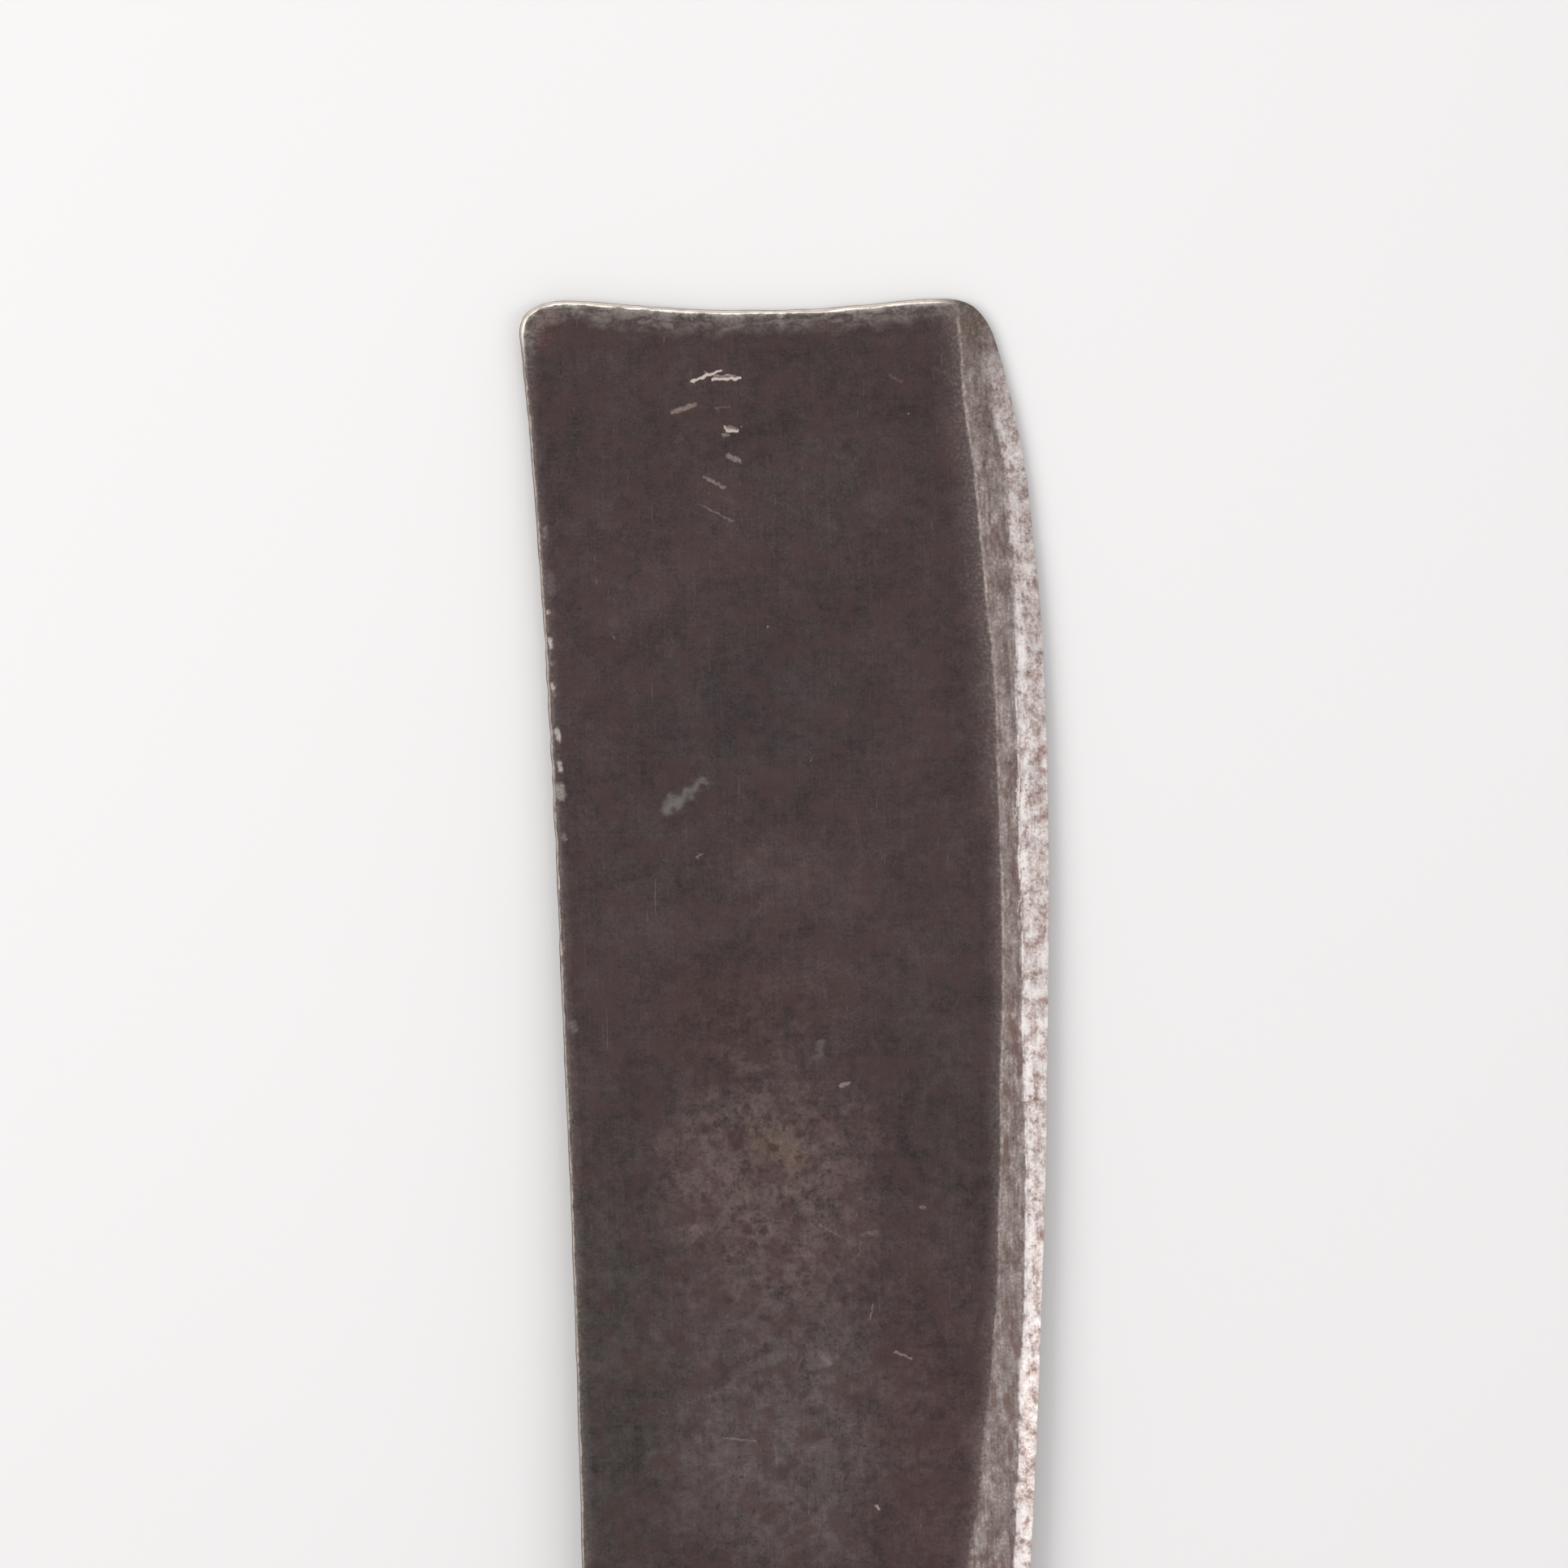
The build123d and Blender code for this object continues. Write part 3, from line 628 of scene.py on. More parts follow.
    # ground bevel: inner facet, then the bright outer facet
    ragged = n.mul(n.sub(n.noise(p, 0.8, 5.0, 0.7, offset=(9, 9, 1)), 0.5), n.mixf(n.step(y, 75.0, 45.0), 1.5, 3.4))
    in_bevel = n.step(n.add(din, ragged), -0.55, 0.65)
    ragged2 = n.mul(n.sub(n.noise(p, 0.55, 6.0, 0.72, stretch=(1.0, 0.5, 1.0), offset=(2, 4, 8)), 0.5), 3.4)
    outward = n.mul(n.step(y, 222.0, 262.0), 1.5)
    in_outer = n.step(n.add(n.sub(dmid, outward), ragged2), -0.85, 0.75)
    long = n.noise(p, 1.0, 5.0, 0.7, stretch=(2.0, 0.06, 1.0), offset=(41, 3, 3))
    blot = n.noise(p, 0.40, 5.0, 0.66, 0.4, stretch=(1.0, 0.42, 1.0), offset=(1, 61, 3))
    fine = n.noise(p, 1.5, 5.0, 0.75, 0.2, offset=(8, 21, 3))
    mid = n.noise(p, 0.36, 5.0, 0.7, 0.3, stretch=(1.0, 0.8, 1.0), offset=(3, 71, 3))
    tone = n.add(n.add(n.mul(blot, 0.34), n.mul(mid, 0.18)), n.add(n.mul(fine, 0.32), n.mul(long, 0.16)))
    inner = n.ramp(tone, [(0.38, srgb(84, 67, 62)), (0.45, srgb(110, 97, 93)), (0.52, srgb(138, 126, 122)), (0.61, srgb(184, 174, 169))])
    inner = n.brighter(inner, n.step(din, 3.4, 0.8, 1.0, 1.10))
    tone2 = n.add(n.add(n.mul(mid, 0.53), n.mul(fine, 0.34)), n.mul(long, 0.13))
    outer = n.ramp(tone2, [(0.37, srgb(140, 110, 99)), (0.44, srgb(178, 156, 149)), (0.50, srgb(224, 209, 205)), (0.58, srgb(255, 250, 247))])
    strong = n.add(n.add(n.line(y, 290.0, 110.0, 0.635, 0.80), n.step(y, 115.0, 55.0, 0.0, 0.30)), n.mul(n.sub(spread, 0.5), 0.5))
    outer = n.brighter(outer, strong)
    band = n.mul(n.step(n.math("ABSOLUTE", n.sub(dmid, 1.1)), 1.5, 0.3), n.step(n.noise(p, 0.12, 4.0, 0.6, stretch=(1.0, 0.5, 1.0), offset=(4, 31, 3)), 0.40, 0.62))
    band = n.mul(band, n.mul(n.step(y, 262.0, 215.0), n.step(n.add(fine, mid), 0.82, 1.08)))
    outer = n.mix(n.mul(band, 0.8), outer, srgb(236, 228, 226))
    rusty = n.mul(n.step(n.noise(p, 1.25, 4.0, 0.6, offset=(81, 3, 3)), 0.57, 0.66), n.step(dedge, 4.2, 1.2))
    outer = n.mix(n.mul(rusty, 0.55), outer, srgb(166, 131, 114))
    stain = n.step(n.noise(p, 0.33, 5.0, 0.62, 0.5, stretch=(1.0, 0.55, 1.0), offset=(6, 13, 3)), 0.57, 0.68)
    outer = n.mix(n.mul(stain, 0.55), outer, srgb(150, 130, 130))
    brown = n.mul(n.step(n.noise(p, 0.22, 5.0, 0.6, 0.3, stretch=(1.6, 0.5, 1.0), offset=(16, 3, 3)), 0.55, 0.64), n.step(dmid, 1.2, -0.6))
    ground = n.mix(in_outer, inner, outer)
    ground = n.mix(n.mul(brown, 0.68), ground, srgb(106, 80, 73))
    spots = n.step(n.add(n.noise(p, 0.38, 4.0, 0.6, 0.3, stretch=(1.0, 0.60, 1.0), offset=(46, 3, 3)), n.mul(ragged0, 0.03)), 0.540, 0.610)
    spots = n.mul(n.mul(spots, n.mul(n.step(dmid, -3.8, -2.2), n.step(dmid, 0.5, -0.4))), n.mul(n.step(y, 222.0, 200.0), n.step(y, 55.0, 75.0)))
    ground = n.mix(n.mul(spots, 0.66), ground, srgb(106, 82, 76))
    fade = n.step(n.add(y, n.mul(n.sub(spread, 0.5), 14.0)), 284.0, 297.0)
    ground = n.mix(n.mul(fade, 0.78), ground, n.mix(speck, srgb(94, 82, 76), srgb(138, 124, 114)))
    colour = n.mix(n.mul(in_bevel, n.mixf(fade, 1.0, 0.75)), face, ground)
    corner = n.mul(n.step(n.vmath("DISTANCE", loose, (96.5, 297.0, 0), out=1), 8.0, 1.0), in_bevel)
    colour = n.mix(n.mul(n.mul(corner, wisp), 0.55), colour, srgb(98, 76, 64))

    # bright lines along the creases
    grainy = n.step(n.noise(p, 0.5, 5.0, 0.72, stretch=(1.0, 0.5, 1.0), offset=(3, 33, 3)), 0.36, 0.60)
    window = n.mul(n.step(y, 48.0, 80.0), n.step(y, 301.0, 290.0))
    chips = n.step(n.noise(p, 0.75, 5.0, 0.72, stretch=(1.0, 0.6, 1.0), offset=(3, 33, 63)), 0.43, 0.60)
    crease = n.step(n.math("ABSOLUTE", n.sub(n.add(din, n.mul(ragged0, 1.3)), 0.10)), n.add(0.28, n.mul(grainy, 0.30)), 0.06)
    crease = n.mul(crease, n.mul(n.add(0.12, n.mul(n.mul(chips, n.add(0.35, n.mul(grainy, 0.65))), 0.88)), window))
    colour = n.mix(n.mul(crease, 0.68), colour, srgb(192, 181, 170))
    crease2 = n.mul(n.step(n.math("ABSOLUTE", n.add(dmid, n.mul(ragged0, 0.5))), n.add(0.28, n.mul(n.step(y, 118.0, 95.0), 0.22)), 0.08), n.mul(n.step(n.noise(p, 0.3, 4.0, 0.7, offset=(3, 3, 39)), 0.42, 0.58), n.step(y, 238.0, 215.0)))
    colour = n.mix(n.mul(crease2, 0.70), colour, srgb(240, 232, 230))

    # marks on the upper side, a few wandering scratches on both
    colour = n.mix(n.mul(mark("pale"), 0.60), colour, srgb(128, 126, 120))
    colour = n.mix(n.mul(mark("dull"), 0.85), colour, srgb(168, 152, 142))
    colour = n.mix(n.mul(mark("bright"), 0.9), colour, srgb(206, 190, 182))
    colour = n.mix(n.mul(mark("burr"), 0.85), colour, srgb(176, 170, 162))
    scr = n.step(n.noise(p, 0.55, 2.0, 0.4, 1.5, stretch=(3.2, 0.22, 1.0), offset=(4, 41, 7)), 0.735, 0.765)
    scr = n.mul(scr, n.mixf(up, 0.45, 0.16))
    colour = n.mix(scr, colour, srgb(158, 146, 140))

    # rubbed arrises of the spine, the tip and the heel, with a painted highlight along their round-over and a painted
    # dark line at the outermost rim
    gleam = n.step(n.noise(p, 0.45, 5.0, 0.72, offset=(13, 3, 5)), 0.36, 0.56)
    soft = n.mul(n.step(n.vmath("DISTANCE", flat, (5.5, 293.5, 0), out=1), 12.5, 6.5), n.step(n.vmath("DISTANCE", flat, (10.0, 300.0, 0), out=1), 6.0, 9.0))
    wide = n.mixf(at_tip, 0.56, n.add(0.58, n.mul(spread, 1.05)))
    wide = n.add(wide, n.mul(n.sub(grainy, 0.5), 0.22))
    keep = n.mixf(at_tip, n.add(0.42, n.mul(gleam, 0.50)), n.mul(n.add(0.74, n.mul(gleam, 0.26)), n.step(xyz.outputs[0], 93.5, 87.0)))
    # painted highlight mixed with real wear: a cream line along the rounded arris where it would catch the lights, on
    # bared, smoother metal
    wear_and_highlight = n.mul(n.mul(n.step(n.sub(rim, wide), 0.16, -0.16), n.step(rim, 0.12, 0.28)), n.mul(keep, n.sub(1.0, n.mul(soft, 0.55))))
    colour = n.mix(n.mul(wear_and_highlight, 0.94), colour, n.mix(at_tip, srgb(212, 198, 188), srgb(243, 232, 219)))
    under = n.mul(n.mul(n.step(n.sub(rim, wide), 0.95, 0.10), n.step(n.sub(rim, wide), -0.10, 0.05)), n.mul(n.mul(at_tip, n.step(xyz.outputs[0], 95.0, 86.0)), n.add(0.30, n.mul(wisp, 0.70))))
    colour = n.mix(n.mul(under, n.sub(0.62, n.mul(soft, 0.25))), colour, srgb(168, 164, 160))
    # painted shade: a dark line on the steep outermost part of the rounded rim, standing in for its dark reflection and
    # contact shade
    painted_dark_rim = n.step(rim, 0.28, 0.10)
    colour = n.mix(n.mul(painted_dark_rim, n.mul(n.sub(1.0, n.step(dedge, 6.0, 1.0)), 0.82)), colour, srgb(92, 76, 70))

    # sides of the spine, the heel and the tang
    wall = n.attribute("wall")
    forged = n.noise(raw, 0.50, 5.0, 0.70, stretch=(0.8, 0.16, 1.5), offset=(3, 9, 21))
    rubs = n.noise(raw, 1.6, 4.0, 0.70, stretch=(0.6, 0.10, 1.3), offset=(13, 9, 2))
    flank = n.add(n.mul(forged, 0.6), n.mul(rubs, 0.4))
    colour = n.mix(wall, colour, n.ramp(flank, [(0.34, srgb(68, 55, 51)), (0.46, srgb(90, 77, 72)), (0.57, srgb(116, 104, 97)), (0.70, srgb(160, 148, 139))]))

    metal = n.mixf(n.high(in_bevel, wall), 0.55, 0.82)
    metal = n.mixf(wear_and_highlight, metal, 0.92)
    rough = n.add(n.mul(grain, 0.25), n.mixf(low, 0.44, 0.50))
    rough = n.mixf(in_bevel, rough, n.add(n.mul(n.sub(fine, 0.5), 0.35), 0.40))
    rough = n.mixf(n.mul(wear_and_highlight, 0.8), rough, 0.32)
    rough = n.mixf(n.mul(n.high(pits, dots), 0.7), rough, 0.75)
    height = n.add(n.mul(grain, 0.5), n.mul(mottle, 0.5))
    height = n.add(height, n.mul(up_streak, 0.5))
    height = n.sub(height, n.mul(n.high(pits, dots), 0.5))
    height = n.mixf(in_bevel, height, n.add(n.add(n.mul(tone2, 2.2), n.mul(tone, 1.0)), n.mul(long, 0.8)))
    height = n.mixf(wall, height, n.mul(flank, 2.5))
    return n.finish(colour, metal, rough, height, 0.40, 0.00014)


def wood():
    n = Nodes("handle_wood_aged")
    p = n.attribute("local_mm", out=1)
    rim, riv, seam, end = (n.attribute(k) for k in ("rim", "rivet", "seam", "end_grain"))
    sway = n.sub(n.noise(p, 0.022, 3.0, 0.55, stretch=(1.0, 0.30, 1.0), offset=(3, 7, 1)), 0.5)
    lean = n.sub(n.noise(p, 0.07, 3.0, 0.55, stretch=(1.0, 0.22, 1.0), offset=(8, 1, 4)), 0.5)
    # growth rings round a pith outside the handle
    pith = n.vmath("SUBTRACT", n.scaled(p, (1.0, 0.0, 1.0)), (-22.0, 0.0, -46.0))
    ring = n.add(n.vmath("LENGTH", pith, out=1), n.add(n.mul(sway, 34.0), n.mul(lean, 10.0)))
    across = n.put("ShaderNodeCombineXYZ", {0: ring})
    wide = n.noise(across, 0.30, 3.0, 0.6)
    thin = n.noise(across, 1.35, 3.0, 0.6, offset=(40, 0, 0))
    grain = n.noise(p, 1.5, 5.0, 0.7, stretch=(1.0, 0.03, 1.0), offset=(9, 3, 2))
    tone = n.add(n.add(n.mul(wide, 0.46), n.mul(thin, 0.20)), n.mul(grain, 0.34))
    colour = n.ramp(tone, [(0.33, (0.040, 0.017, 0.009)), (0.44, (0.092, 0.040, 0.020)),
                           (0.54, (0.165, 0.080, 0.040)), (0.68, (0.275, 0.148, 0.080))])
    long_pore = n.noise(p, 3.0, 3.0, 0.6, stretch=(1.0, 0.05, 1.0), offset=(1, 8, 2))
    end_pore = n.noise(p, 2.2, 2.0, 0.6, offset=(1, 8, 22))
    pores = n.step(n.mixf(end, long_pore, end_pore), 0.585, 0.665)
    colour = n.mix(n.mul(pores, 0.75), colour, (0.018, 0.009, 0.005))
    colour = n.mix(n.mul(end, 0.40), colour, (0.040, 0.020, 0.011))
    hand = n.noise(p, 0.035, 4.0, 0.6, offset=(2, 2, 9))
    colour = n.mix(n.mul(n.step(hand, 0.48, 0.68), 0.45), colour, (0.045, 0.024, 0.015))
    fade = n.noise(p, 0.05, 4.0, 0.6, stretch=(1.0, 0.5, 1.0), offset=(22, 2, 9))
    colour = n.mix(n.mul(n.step(fade, 0.52, 0.70), 0.35), colour, (0.250, 0.150, 0.092))
    patchy = n.step(n.noise(p, 0.16, 5.0, 0.68, stretch=(1.0, 0.35, 1.0), offset=(6, 6, 1)), 0.40, 0.62)
    wear = n.mul(n.mul(n.step(rim, 3.0, 0.7), n.step(seam, 1.5, 5.5)), patchy)
    colour = n.mix(n.mul(wear, 0.50), colour, (0.320, 0.200, 0.125))
    joint = n.step(seam, 0.9, 0.05)
    colour = n.mix(n.mul(joint, 0.80), colour, (0.018, 0.013, 0.010))
    dirt = n.mul(n.step(riv, 1.7, 0.0), n.step(n.noise(p, 0.5, 4.0, 0.6), 0.25, 0.6))
    colour = n.mix(n.mul(dirt, 0.85), colour, (0.016, 0.012, 0.010))
    scratch = n.noise(p, 2.2, 2.0, 0.5, 2.5, stretch=(0.25, 1.0, 1.0), offset=(4, 4, 4))
    cuts = n.mul(n.step(scratch, 0.69, 0.73), n.step(n.noise(p, 0.08, 2.0, 0.5, offset=(8, 8, 8)), 0.42, 0.58))
    colour = n.mix(n.mul(cuts, 0.5), colour, (0.30, 0.20, 0.13))
    nicks = n.step(n.noise(p, 0.55, 3.0, 0.5, 0.6, offset=(14, 4, 4)), 0.70, 0.76)
    colour = n.mix(n.mul(nicks, 0.55), colour, (0.030, 0.016, 0.010))
    rough = n.add(n.mul(grain, 0.24), n.mixf(wear, 0.40, 0.32))
    rough = n.add(rough, n.mul(pores, 0.25))
    height = n.sub(n.add(n.mul(grain, 0.5), n.mul(wide, 0.5)), n.add(n.mul(pores, 1.0), n.mul(cuts, 0.8)))
    height = n.sub(height, n.mul(nicks, 0.9))
    return n.finish(colour, 0.0, rough, height, 0.55, 0.00025, Coat_Weight=0.14, Coat_Roughness=0.32)


def brass():
    n = Nodes("brass_tarnished")
    p = n.attribute("local_mm", out=1)
    rim = n.attribute("rim")
    cloud = n.noise(p, 0.35, 6.0, 0.65, 0.4)
    fine = n.noise(p, 2.6, 4.0, 0.65, offset=(4, 9, 2))
    scr = n.noise(p, 1.6, 3.0, 0.6, 1.0, stretch=(0.4, 4.0, 1.0), offset=(7, 7, 1))
    colour = n.ramp(n.add(n.mul(cloud, 0.6), n.mul(fine, 0.4)), [(0.34, (0.100, 0.062, 0.026)), (0.46, (0.30, 0.195, 0.075)),
                                                                  (0.58, (0.52, 0.375, 0.155)), (0.74, (0.72, 0.57, 0.29))])
    spots = n.step(n.noise(p, 1.3, 3.0, 0.6, offset=(3, 13, 5)), 0.60, 0.68)
    colour = n.mix(n.mul(spots, 0.55), colour, (0.10, 0.070, 0.034))
    edge = n.step(rim, 0.9, 0.05)
    colour = n.mix(n.mul(edge, 0.7), colour, (0.085, 0.055, 0.028))
    line = n.step(scr, 0.60, 0.67)
    colour = n.mix(n.mul(line, 0.5), colour, (0.78, 0.66, 0.42))
    rough = n.add(n.mul(fine, 0.25), n.mixf(edge, 0.27, 0.5))
    height = n.sub(n.mul(fine, 0.5), n.mul(line, 0.5))
    return n.finish(colour, n.mixf(edge, 0.95, 0.6), rough, height, 0.3, 0.00012)


def pale_floor():
    n = Nodes("floor_pale_board")
    p = n.put("ShaderNodeTexCoord", out=3)
    a = n.noise(p, 3.0, 4.0, 0.5)
    b = n.noise(p, 160.0, 3.0, 0.5)
    colour = n.mix(a, (0.869, 0.858, 0.856), (0.889, 0.880, 0.878))
    return n.finish(colour, 0.0, n.add(n.mul(b, 0.1), 0.5), b, 0.04, 0.0002, Specular_IOR_Level=0.25)


STEEL, WOOD, BRASS = steel(), wood(), brass()

# ------------------------------------------------------------------ blade
EDGE_STEP = 0.9
parts = [curve(SPINE, (0, 1), (-0.05, 1), 0.55), curve(TIP_BACK, (-0.05, 1), (1, 0), 0.35),
         curve(TIP_END, (1, 0), (1, -0.02), 0.7), curve(TIP_FRONT, (1, -0.02), (0.28, -1), 0.4),
         curve(EDGE, (0.28, -1), (-0.09, -1), EDGE_STEP), curve(HEEL_CORNER, (-0.09, -1), (-1, -0.03), 0.4)]
heel = np.linspace((91.6, 0.2), (55.0, -0.9), 41)[:-1]
parts += [heel, curve(NECK, (-1, -0.03), (-0.14, -1), 0.7), curve(BELLY, (-0.14, -1), (0.30, -1), 1.1),
          curve(BUTT_CORNER, (0.30, -1), (-1, -0.22), 0.6), curve(BUTT, (-1, -0.22), (-0.45, 1), 1.0),
          curve(BACK, (-0.45, 1), (0, 1), 1.1)]
outline = np.vstack(parts)
kinds = np.concatenate([np.full(len(p), k) for k, p in enumerate(parts)])
ox, oy = outline[:, 0], outline[:, 1]

NICKS = [(229.6, 0.30, 1.1), (220.0, 0.26, 1.0), (218.1, 0.18, 0.7), (209.2, 0.32, 1.1), (202.3, 0.32, 1.0), (196.8, 0.24, 1.3),
         (186.8, 0.14, 1.0), (236.4, 0.14, 0.7), (225.0, 0.14, 0.8), (254.0, 0.10, 1.2)]
shift = np.zeros(len(outline))
on_spine = (kinds == 0) | ((kinds == 11) & (oy > -12))
for y0, deep, wide in NICKS:
    g = deep * np.exp(-((oy - y0) / wide) ** 2) * on_spine
    shift += g
rough_rim = 0.05 * (1.3 + wobble(ox, oy, 9.0, 3)) + 0.03 * (1 + wobble(ox, oy, 2.6, 4))
on_blade = (kinds <= 7) | ((kinds == 11) & (oy > -12))
shift += np.clip(rough_rim, 0, 0.3) * on_blade
edge_chip = 0.05 + 0.05 * wobble(ox, oy, 6.0, 8) + 0.30 * np.clip(wobble(ox, oy, 11.0, 12) - 1.5, 0, 1)
shift = np.where(kinds == 4, np.clip(edge_chip, 0.01, 0.6), shift)
k = np.ones(5) / 5
shift = np.convolve(np.concatenate([shift[-2:], shift, shift[:2]]), k, "valid")

RINGS = [0.0, 0.06, 0.2, 0.42, 0.7, 1.0, 1.35, 1.75, 2.3]
ys = np.arange(-6.0, 304.0, 1.0)


def bevel_lines(y):
    cols = [np.interp(y, BEVEL[:, 0], BEVEL[:, k]) for k in (1, 2, 3, 4)]
    cols[0] = cols[0] + 0.12 * wobble(0 * y, y, 30.0, 31) + 0.03 * wobble(0 * y, y, 6.0, 32)
    cols[1] = cols[1] + 0.13 * wobble(0 * y, y, 26.0, 33) + 0.05 * wobble(0 * y, y, 6.0, 34)
    return cols


inner_x, middle_x, edge_x, mid_half = bevel_lines(ys)
lines = [np.column_stack([inner_x, ys]), np.column_stack([middle_x, ys])]
rows = [np.column_stack([inner_x + o, ys]) for o in (-1.3, -0.4, 0.4, 1.3)]
rows += [np.column_stack([middle_x + o, ys]) for o in (-1.2, -0.4, 0.4, 1.1)]
holes = [(x, y, 3.9) for _, x, y in RIVETS] + [(EYELET[0], EYELET[1], 4.55)]
DARK = [((x, y), (x, y), r, 1.0) for x, y, r in RUST]
for items in (BRIGHT, DULL, PALE, DARK, BURRS):
    rows.append(mark_points(items))
slab = Slab(outline, RINGS, shift, holes, [0.0, 0.4, 1.1], lines, rows, 2.1)


def rim_drop(d, r):
    u = np.clip(1 - d / r, 0, 1)
    return r * (1 - np.sqrt(np.clip(1 - u * u, 0, 1)))


def blade_half(x, y, d, seed):
    h = half_t(x, y)
    front = ramp(y, -7.0, 6.0)
    h = h - front * (0.035 * (1.2 + wobble(x, y, 55.0, seed)) + 0.018 * (1.2 + wobble(x, y, 17.0, seed + 1)))
    r = np.where(y > -17, 1.3, 0.25) + 0.25 * ramp(y, -5, 5) * np.clip(wobble(x, y, 14.0, seed + 2), -0.6, 1.2)
    z = h - rim_drop(d, np.clip(r, 0.2, 1.9))
    for y0, deep, wide in NICKS:
        g = np.exp(-((y - y0) / (wide * 1.25)) ** 2) * np.exp(-(np.maximum(x, 0) / 1.6) ** 2)
        z = z - np.where(x < 8, g * deep * 0.9, 0)
    ix, mx, ex, mh = bevel_lines(y)
    hi = half_t(ix, y)
    t1 = (x - ix) / (mx - ix)
    t2 = (x - mx) / (ex - mx)
    facet = np.where(t2 > 0, mh + (EDGE_HALF - mh) * t2 + 0.10 * np.clip(t2, 0, 1) * (1 - np.clip(t2, 0, 1)),
                     hi + (mh - hi) * t1)
    facet = facet - np.where(t1 > 0.3, 0.02 * (1 + wobble(x, y, 9.0, seed + 5)), 0) * np.clip(t1, 0, 1)
    facet = np.where(t1 > 0, facet, 99)
    z = np.minimum(z, facet)
    return np.maximum(z, 0.10)


def scraped(x, y):
    return (0.07 * capsules(x, y, BRIGHT, 0.5) + 0.05 * capsules(x, y, DULL, 0.5) + 0.04 * capsules(x, y, DARK, 0.9, 0.4, 2.6)
            + 0.09 * capsules(x, y, BURRS, 0.6))


verts, faces, info = slab.solid(lambda x, y, d: blade_half(x, y, d, 50) - scraped(x, y), lambda x, y, d: -blade_half(x, y, d, 150))
bx, by = info[:, 0], info[:, 1]
ix, mx, ex, mh = bevel_lines(by)
dull_rim = outline[(kinds != 4)]
rim_d = np.minimum(nearest(np.column_stack([bx, by]), dull_rim), 9.0)
rim_d = np.where(info[:, 2] < 90, np.minimum(info[:, 2], rim_d), rim_d)
along_edge = (bx > np.minimum(mx - 1.0, 200)) & (by > -2)
blade = make_object("cleaver_blade", verts, faces, STEEL, {
    "side": np.sign(info[:, 3]), "from_inner": bx - ix, "from_middle": bx - mx, "from_edge": ex - bx,
    "rim": np.where(along_edge, 9.0, rim_d), "wall": np.where(info[:, 2] < 0.01, 1.0, 0.0) * ~along_edge, "bright": capsules(bx, by, BRIGHT, 0.5), "dull": capsules(bx, by, DULL, 0.5),
    "pale": capsules(bx, by, PALE, 0.9, 0.35, 3.0), "dark": capsules(bx, by, DARK, 0.95, 0.4, 2.6), "burr": capsules(bx, by, BURRS, 0.6)})
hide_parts("blade")
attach(blade, "root")

# ------------------------------------------------------------------ handle
env = {k: cubic(-ENVELOPE[:, 0], ENVELOPE[:, k]) for k in (1, 2, 3)}


def crown(x, y):
    u = -ENVELOPE[:, 0]
    q = np.clip(-np.asarray(y, float), 0, 158)
    xc, a, b = (cubic_at(u, ENVELOPE[:, k], env[k], q) for k in (1, 2, 3))
    return 0.994 * b * np.sqrt(np.clip(1 - ((x - xc) / a) ** 2, 0.01, 1))


back = [p for p in BACK if p[1] < -15.0] + [(2.6, -15.0)]
s_outline = np.vstack([curve(SCALE_FRONT, (0.75, 0.66), (0.75, -0.66), 0.8), curve(BELLY, (-0.14, -1), (0.30, -1), 1.0),
                       curve(BUTT_CORNER, (0.30, -1), (-1, -0.22), 0.6), curve(BUTT, (-1, -0.22), (-0.45, 1), 0.9),
                       curve(back, (-0.45, 1), (-0.08, 1), 1.0)])
s_rings = [0.0, 0.08, 0.25, 0.5, 0.85, 1.25, 1.7, 2.3, 3.0]
s_holes = [(x, y, 6.1) for _, x, y in RIVETS] + [(EYELET[0], EYELET[1], 4.58)]
s_slab = Slab(s_outline, s_rings, np.full(len(s_outline), 0.04) + 0.05 * np.clip(wobble(s_outline[:, 0], s_outline[:, 1], 12.0, 5), 0, 2),
              s_holes, [0.0, 0.12, 0.35, 0.8], [], [], 1.9)


def scale_top(x, y, d, seed):
    z = crown(x, y) - rim_drop(d, 2.0)
    z = z - 0.05 * (1.2 + wobble(x, y, 24.0, seed)) - 0.02 * (1 + wobble(x, y, 7.0, seed + 1))
    for cx, cy, r in s_holes:
        g = np.hypot(x - cx, y - cy) - r
        z = z - 0.16 * np.exp(-np.clip(g, 0, 9) / 0.35)
    return z


rivet_gap = lambda x, y: np.min([np.abs(np.hypot(x - cx, y - cy) - r) for cx, cy, r in s_holes], axis=0)
for name, sign, seed in (("left_scale", 1, 70), ("right_scale", -1, 90)):
    if sign > 0:
        v, f, i = s_slab.solid(lambda x, y, d: scale_top(x, y, d, seed), lambda x, y, d: half_t(x, y) + 0.01)
    else:
        v, f, i = s_slab.solid(lambda x, y, d: -half_t(x, y) - 0.01, lambda x, y, d: -scale_top(x, y, d, seed))
    outer = i[:, 3] * sign > -0.99
    rim = np.where(i[:, 2] < 90, i[:, 2], 9.0)
    ends = np.where(i[:, 2] < 0.6, ramp(-i[:, 1], 142.5, 145.5) + ramp(i[:, 1], -14.5, -12.0), 0.0)
    obj = make_object("wood_" + name, v, f, WOOD, {"rim": rim, "rivet": rivet_gap(i[:, 0], i[:, 1]),
                                                   "seam": np.abs(v[:, 2]) - half_t(v[:, 0], v[:, 1]), "end_grain": ends})
    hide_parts(name)
    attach(obj, "root")


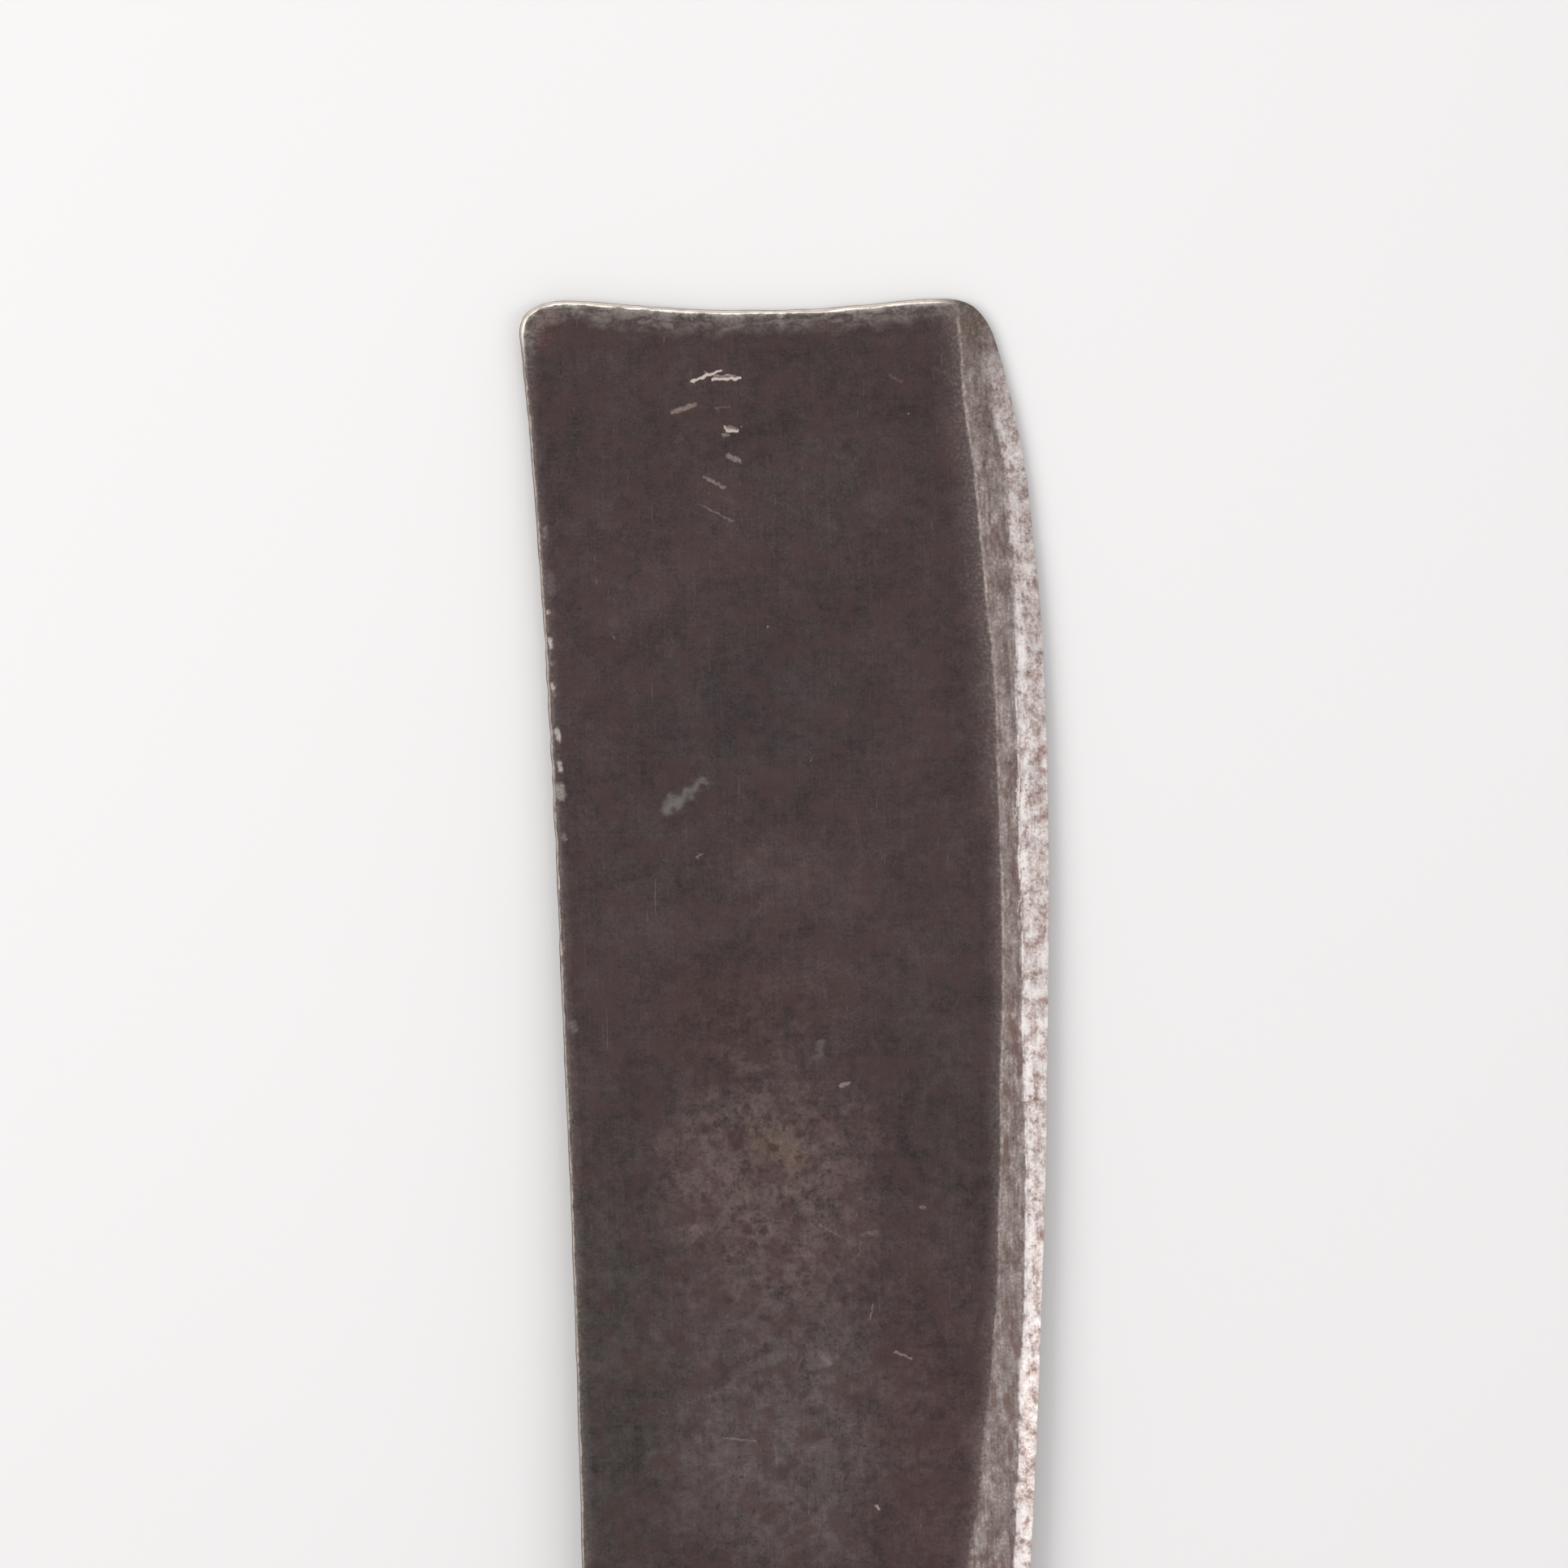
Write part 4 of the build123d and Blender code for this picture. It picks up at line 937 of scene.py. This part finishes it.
def lathe(name, cx, cy, rows, closed_ring=False, seg=64):
    """rows: list of (r, z(x, y)); the first and last have r = 0 unless it is a closed ring."""
    a = np.linspace(0, 2 * math.pi, seg, endpoint=False)
    verts, rims, start = [], [], []
    outer = max(r for r, _ in rows)
    for r, z in rows:
        start.append(len(verts))
        if r == 0:
            verts.append((cx, cy, float(z(np.array(cx), np.array(cy)))))
            rims.append(outer)
        else:
            x, y = cx + r * np.cos(a), cy + r * np.sin(a)
            verts.extend(np.column_stack([x, y, z(x, y) + 0 * x]).tolist())
            rims.extend([outer - r] * seg)
    faces = []
    pairs = list(zip(range(len(rows) - 1), range(1, len(rows))))
    if closed_ring:
        pairs.append((len(rows) - 1, 0))
    for p, q in pairs:
        s, t = start[p], start[q]
        for k in range(seg):
            l = (k + 1) % seg
            if rows[p][0] == 0:
                faces.append((s, t + k, t + l))
            elif rows[q][0] == 0:
                faces.append((s + k, t, s + l))
            else:
                faces.append((s + k, t + k, t + l, s + l))
    obj = make_object(name, np.array(verts), faces, BRASS, {"rim": rims})
    return obj


def flat(z):
    return lambda x, y: np.full(np.shape(x), float(z))


for name, x, y in RIVETS:
    top = float(crown(x, y))
    seat = top - 3.5
    crown_at = lambda drop: (lambda u, w: crown(u, w) - drop)
    cap = [(0, crown_at(0.04)), (1.2, crown_at(0.035)), (2.6, crown_at(0.03)), (4.0, crown_at(0.035)), (5.2, crown_at(0.05)),
           (5.7, crown_at(0.08)), (5.9, crown_at(0.13)), (5.97, crown_at(0.24)), (5.99, crown_at(0.6))]
    stud = cap + [(5.99, flat(seat + 0.1)), (5.9, flat(seat)), (2.5, flat(seat)), (2.5, flat(-seat + 2.3)), (2.2, flat(-seat + 2.2)), (0, flat(-seat + 2.2))]
    o = lathe(f"rivet_{name}_stud", x, y, stud)
    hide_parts(f"{name}_rivet_stud")
    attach(o, "root")
    neg = lambda f: (lambda u, w: -f(u, w))
    under = [(r, neg(z)) for r, z in cap]
    sock = under + [(5.99, flat(-seat - 0.1)), (5.9, flat(-seat)), (3.75, flat(-seat)), (3.75, flat(seat - 1.2)), (3.6, flat(seat - 1.05)),
                    (2.7, flat(seat - 1.05)), (2.52, flat(seat - 1.2)), (2.52, flat(-seat + 1.0)), (0, flat(-seat + 1.0))]
    o = lathe(f"rivet_{name}_socket", x, y, sock)
    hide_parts(f"{name}_rivet_socket")
    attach(o, "root")

lip = [(3.5, 0.75), (3.52, 0.45), (3.6, 0.2), (3.8, 0.06), (4.05, 0.04), (4.3, 0.10), (4.45, 0.28), (4.49, 0.7)]
ring = [(r, (lambda drop: (lambda x, y: crown(x, y) - drop))(g)) for r, g in lip]
ring += [(r, (lambda drop: (lambda x, y: -crown(x, y) + drop))(g)) for r, g in reversed(lip)]
o = lathe("eyelet_tube", EYELET[0], EYELET[1], ring, closed_ring=True)
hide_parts("hanging_eyelet")
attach(o, "root")

# every closed mesh faces outward
import bmesh
for obj in bpy.context.scene.objects:
    if obj.type == "MESH" and obj.name.startswith(("cleaver_blade", "wood_", "rivet_", "eyelet_")):
        bm = bmesh.new()
        bm.from_mesh(obj.data)
        bmesh.ops.recalc_face_normals(bm, faces=bm.faces)
        bm.to_mesh(obj.data)
        bm.free()

# ------------------------------------------------------------------ floor, lights, camera
floor_mesh = bpy.data.meshes.new("floor")
s = 3.0
floor_mesh.from_pydata([(-s, -s, 0), (s, -s, 0), (s, s, 0), (-s, s, 0)], [], [(0, 1, 2, 3)])
floor_mesh.materials.append(pale_floor())
floor = bpy.data.objects.new("floor", floor_mesh)
bpy.context.scene.collection.objects.link(floor)

world = bpy.data.worlds.new("studio")
world.use_nodes = True
world.node_tree.nodes["Background"].inputs[0].default_value = (1.0, 1.0, 1.0, 1.0)
world.node_tree.nodes["Background"].inputs[1].default_value = 0.52
bpy.context.scene.world = world


def area(name, at, target, size, energy, colour=(1, 1, 1)):
    light = bpy.data.lights.new(name, "AREA")
    light.shape = "RECTANGLE"
    light.size, light.size_y = size
    light.energy = energy
    light.color = colour
    o = bpy.data.objects.new(name, light)
    o.location = at
    o.rotation_euler = (Vector(target) - Vector(at)).to_track_quat("-Z", "Y").to_euler()
    bpy.context.scene.collection.objects.link(o)


area("left_window", (-1.05, 0.27, 1.30), (0, 0.08, 0), (0.9, 1.2), 9.8, (1.0, 0.985, 0.975))
area("top_window", (-0.25, 1.25, 1.25), (0, 0.08, 0), (1.3, 0.8), 6.2, (1.0, 0.995, 0.99))
area("right_fill", (0.80, -0.05, 1.45), (0.02, 0.02, 0), (0.55, 1.2), 4.3, (0.99, 0.99, 1.0))

centre = laid([[50.9, 196.7, 0.0]])[0]
up = laid([[50.9 + math.sin(math.radians(2.2)) * 100, 196.7 + math.cos(math.radians(2.2)) * 100, 0.0]])[0] - centre
camera = bpy.data.cameras.new("camera")
camera.lens = 130.4
camera.sensor_width = 36.0
camera.clip_start = 0.01
cam = bpy.data.objects.new("camera", camera)
cam.location = (centre[0], centre[1], 1.25 + centre[2])
cam.rotation_euler = (0, 0, -math.atan2(up[0], up[1]))
bpy.context.scene.collection.objects.link(cam)
bpy.context.scene.camera = cam
bpy.context.scene.view_settings.view_transform = "Standard"
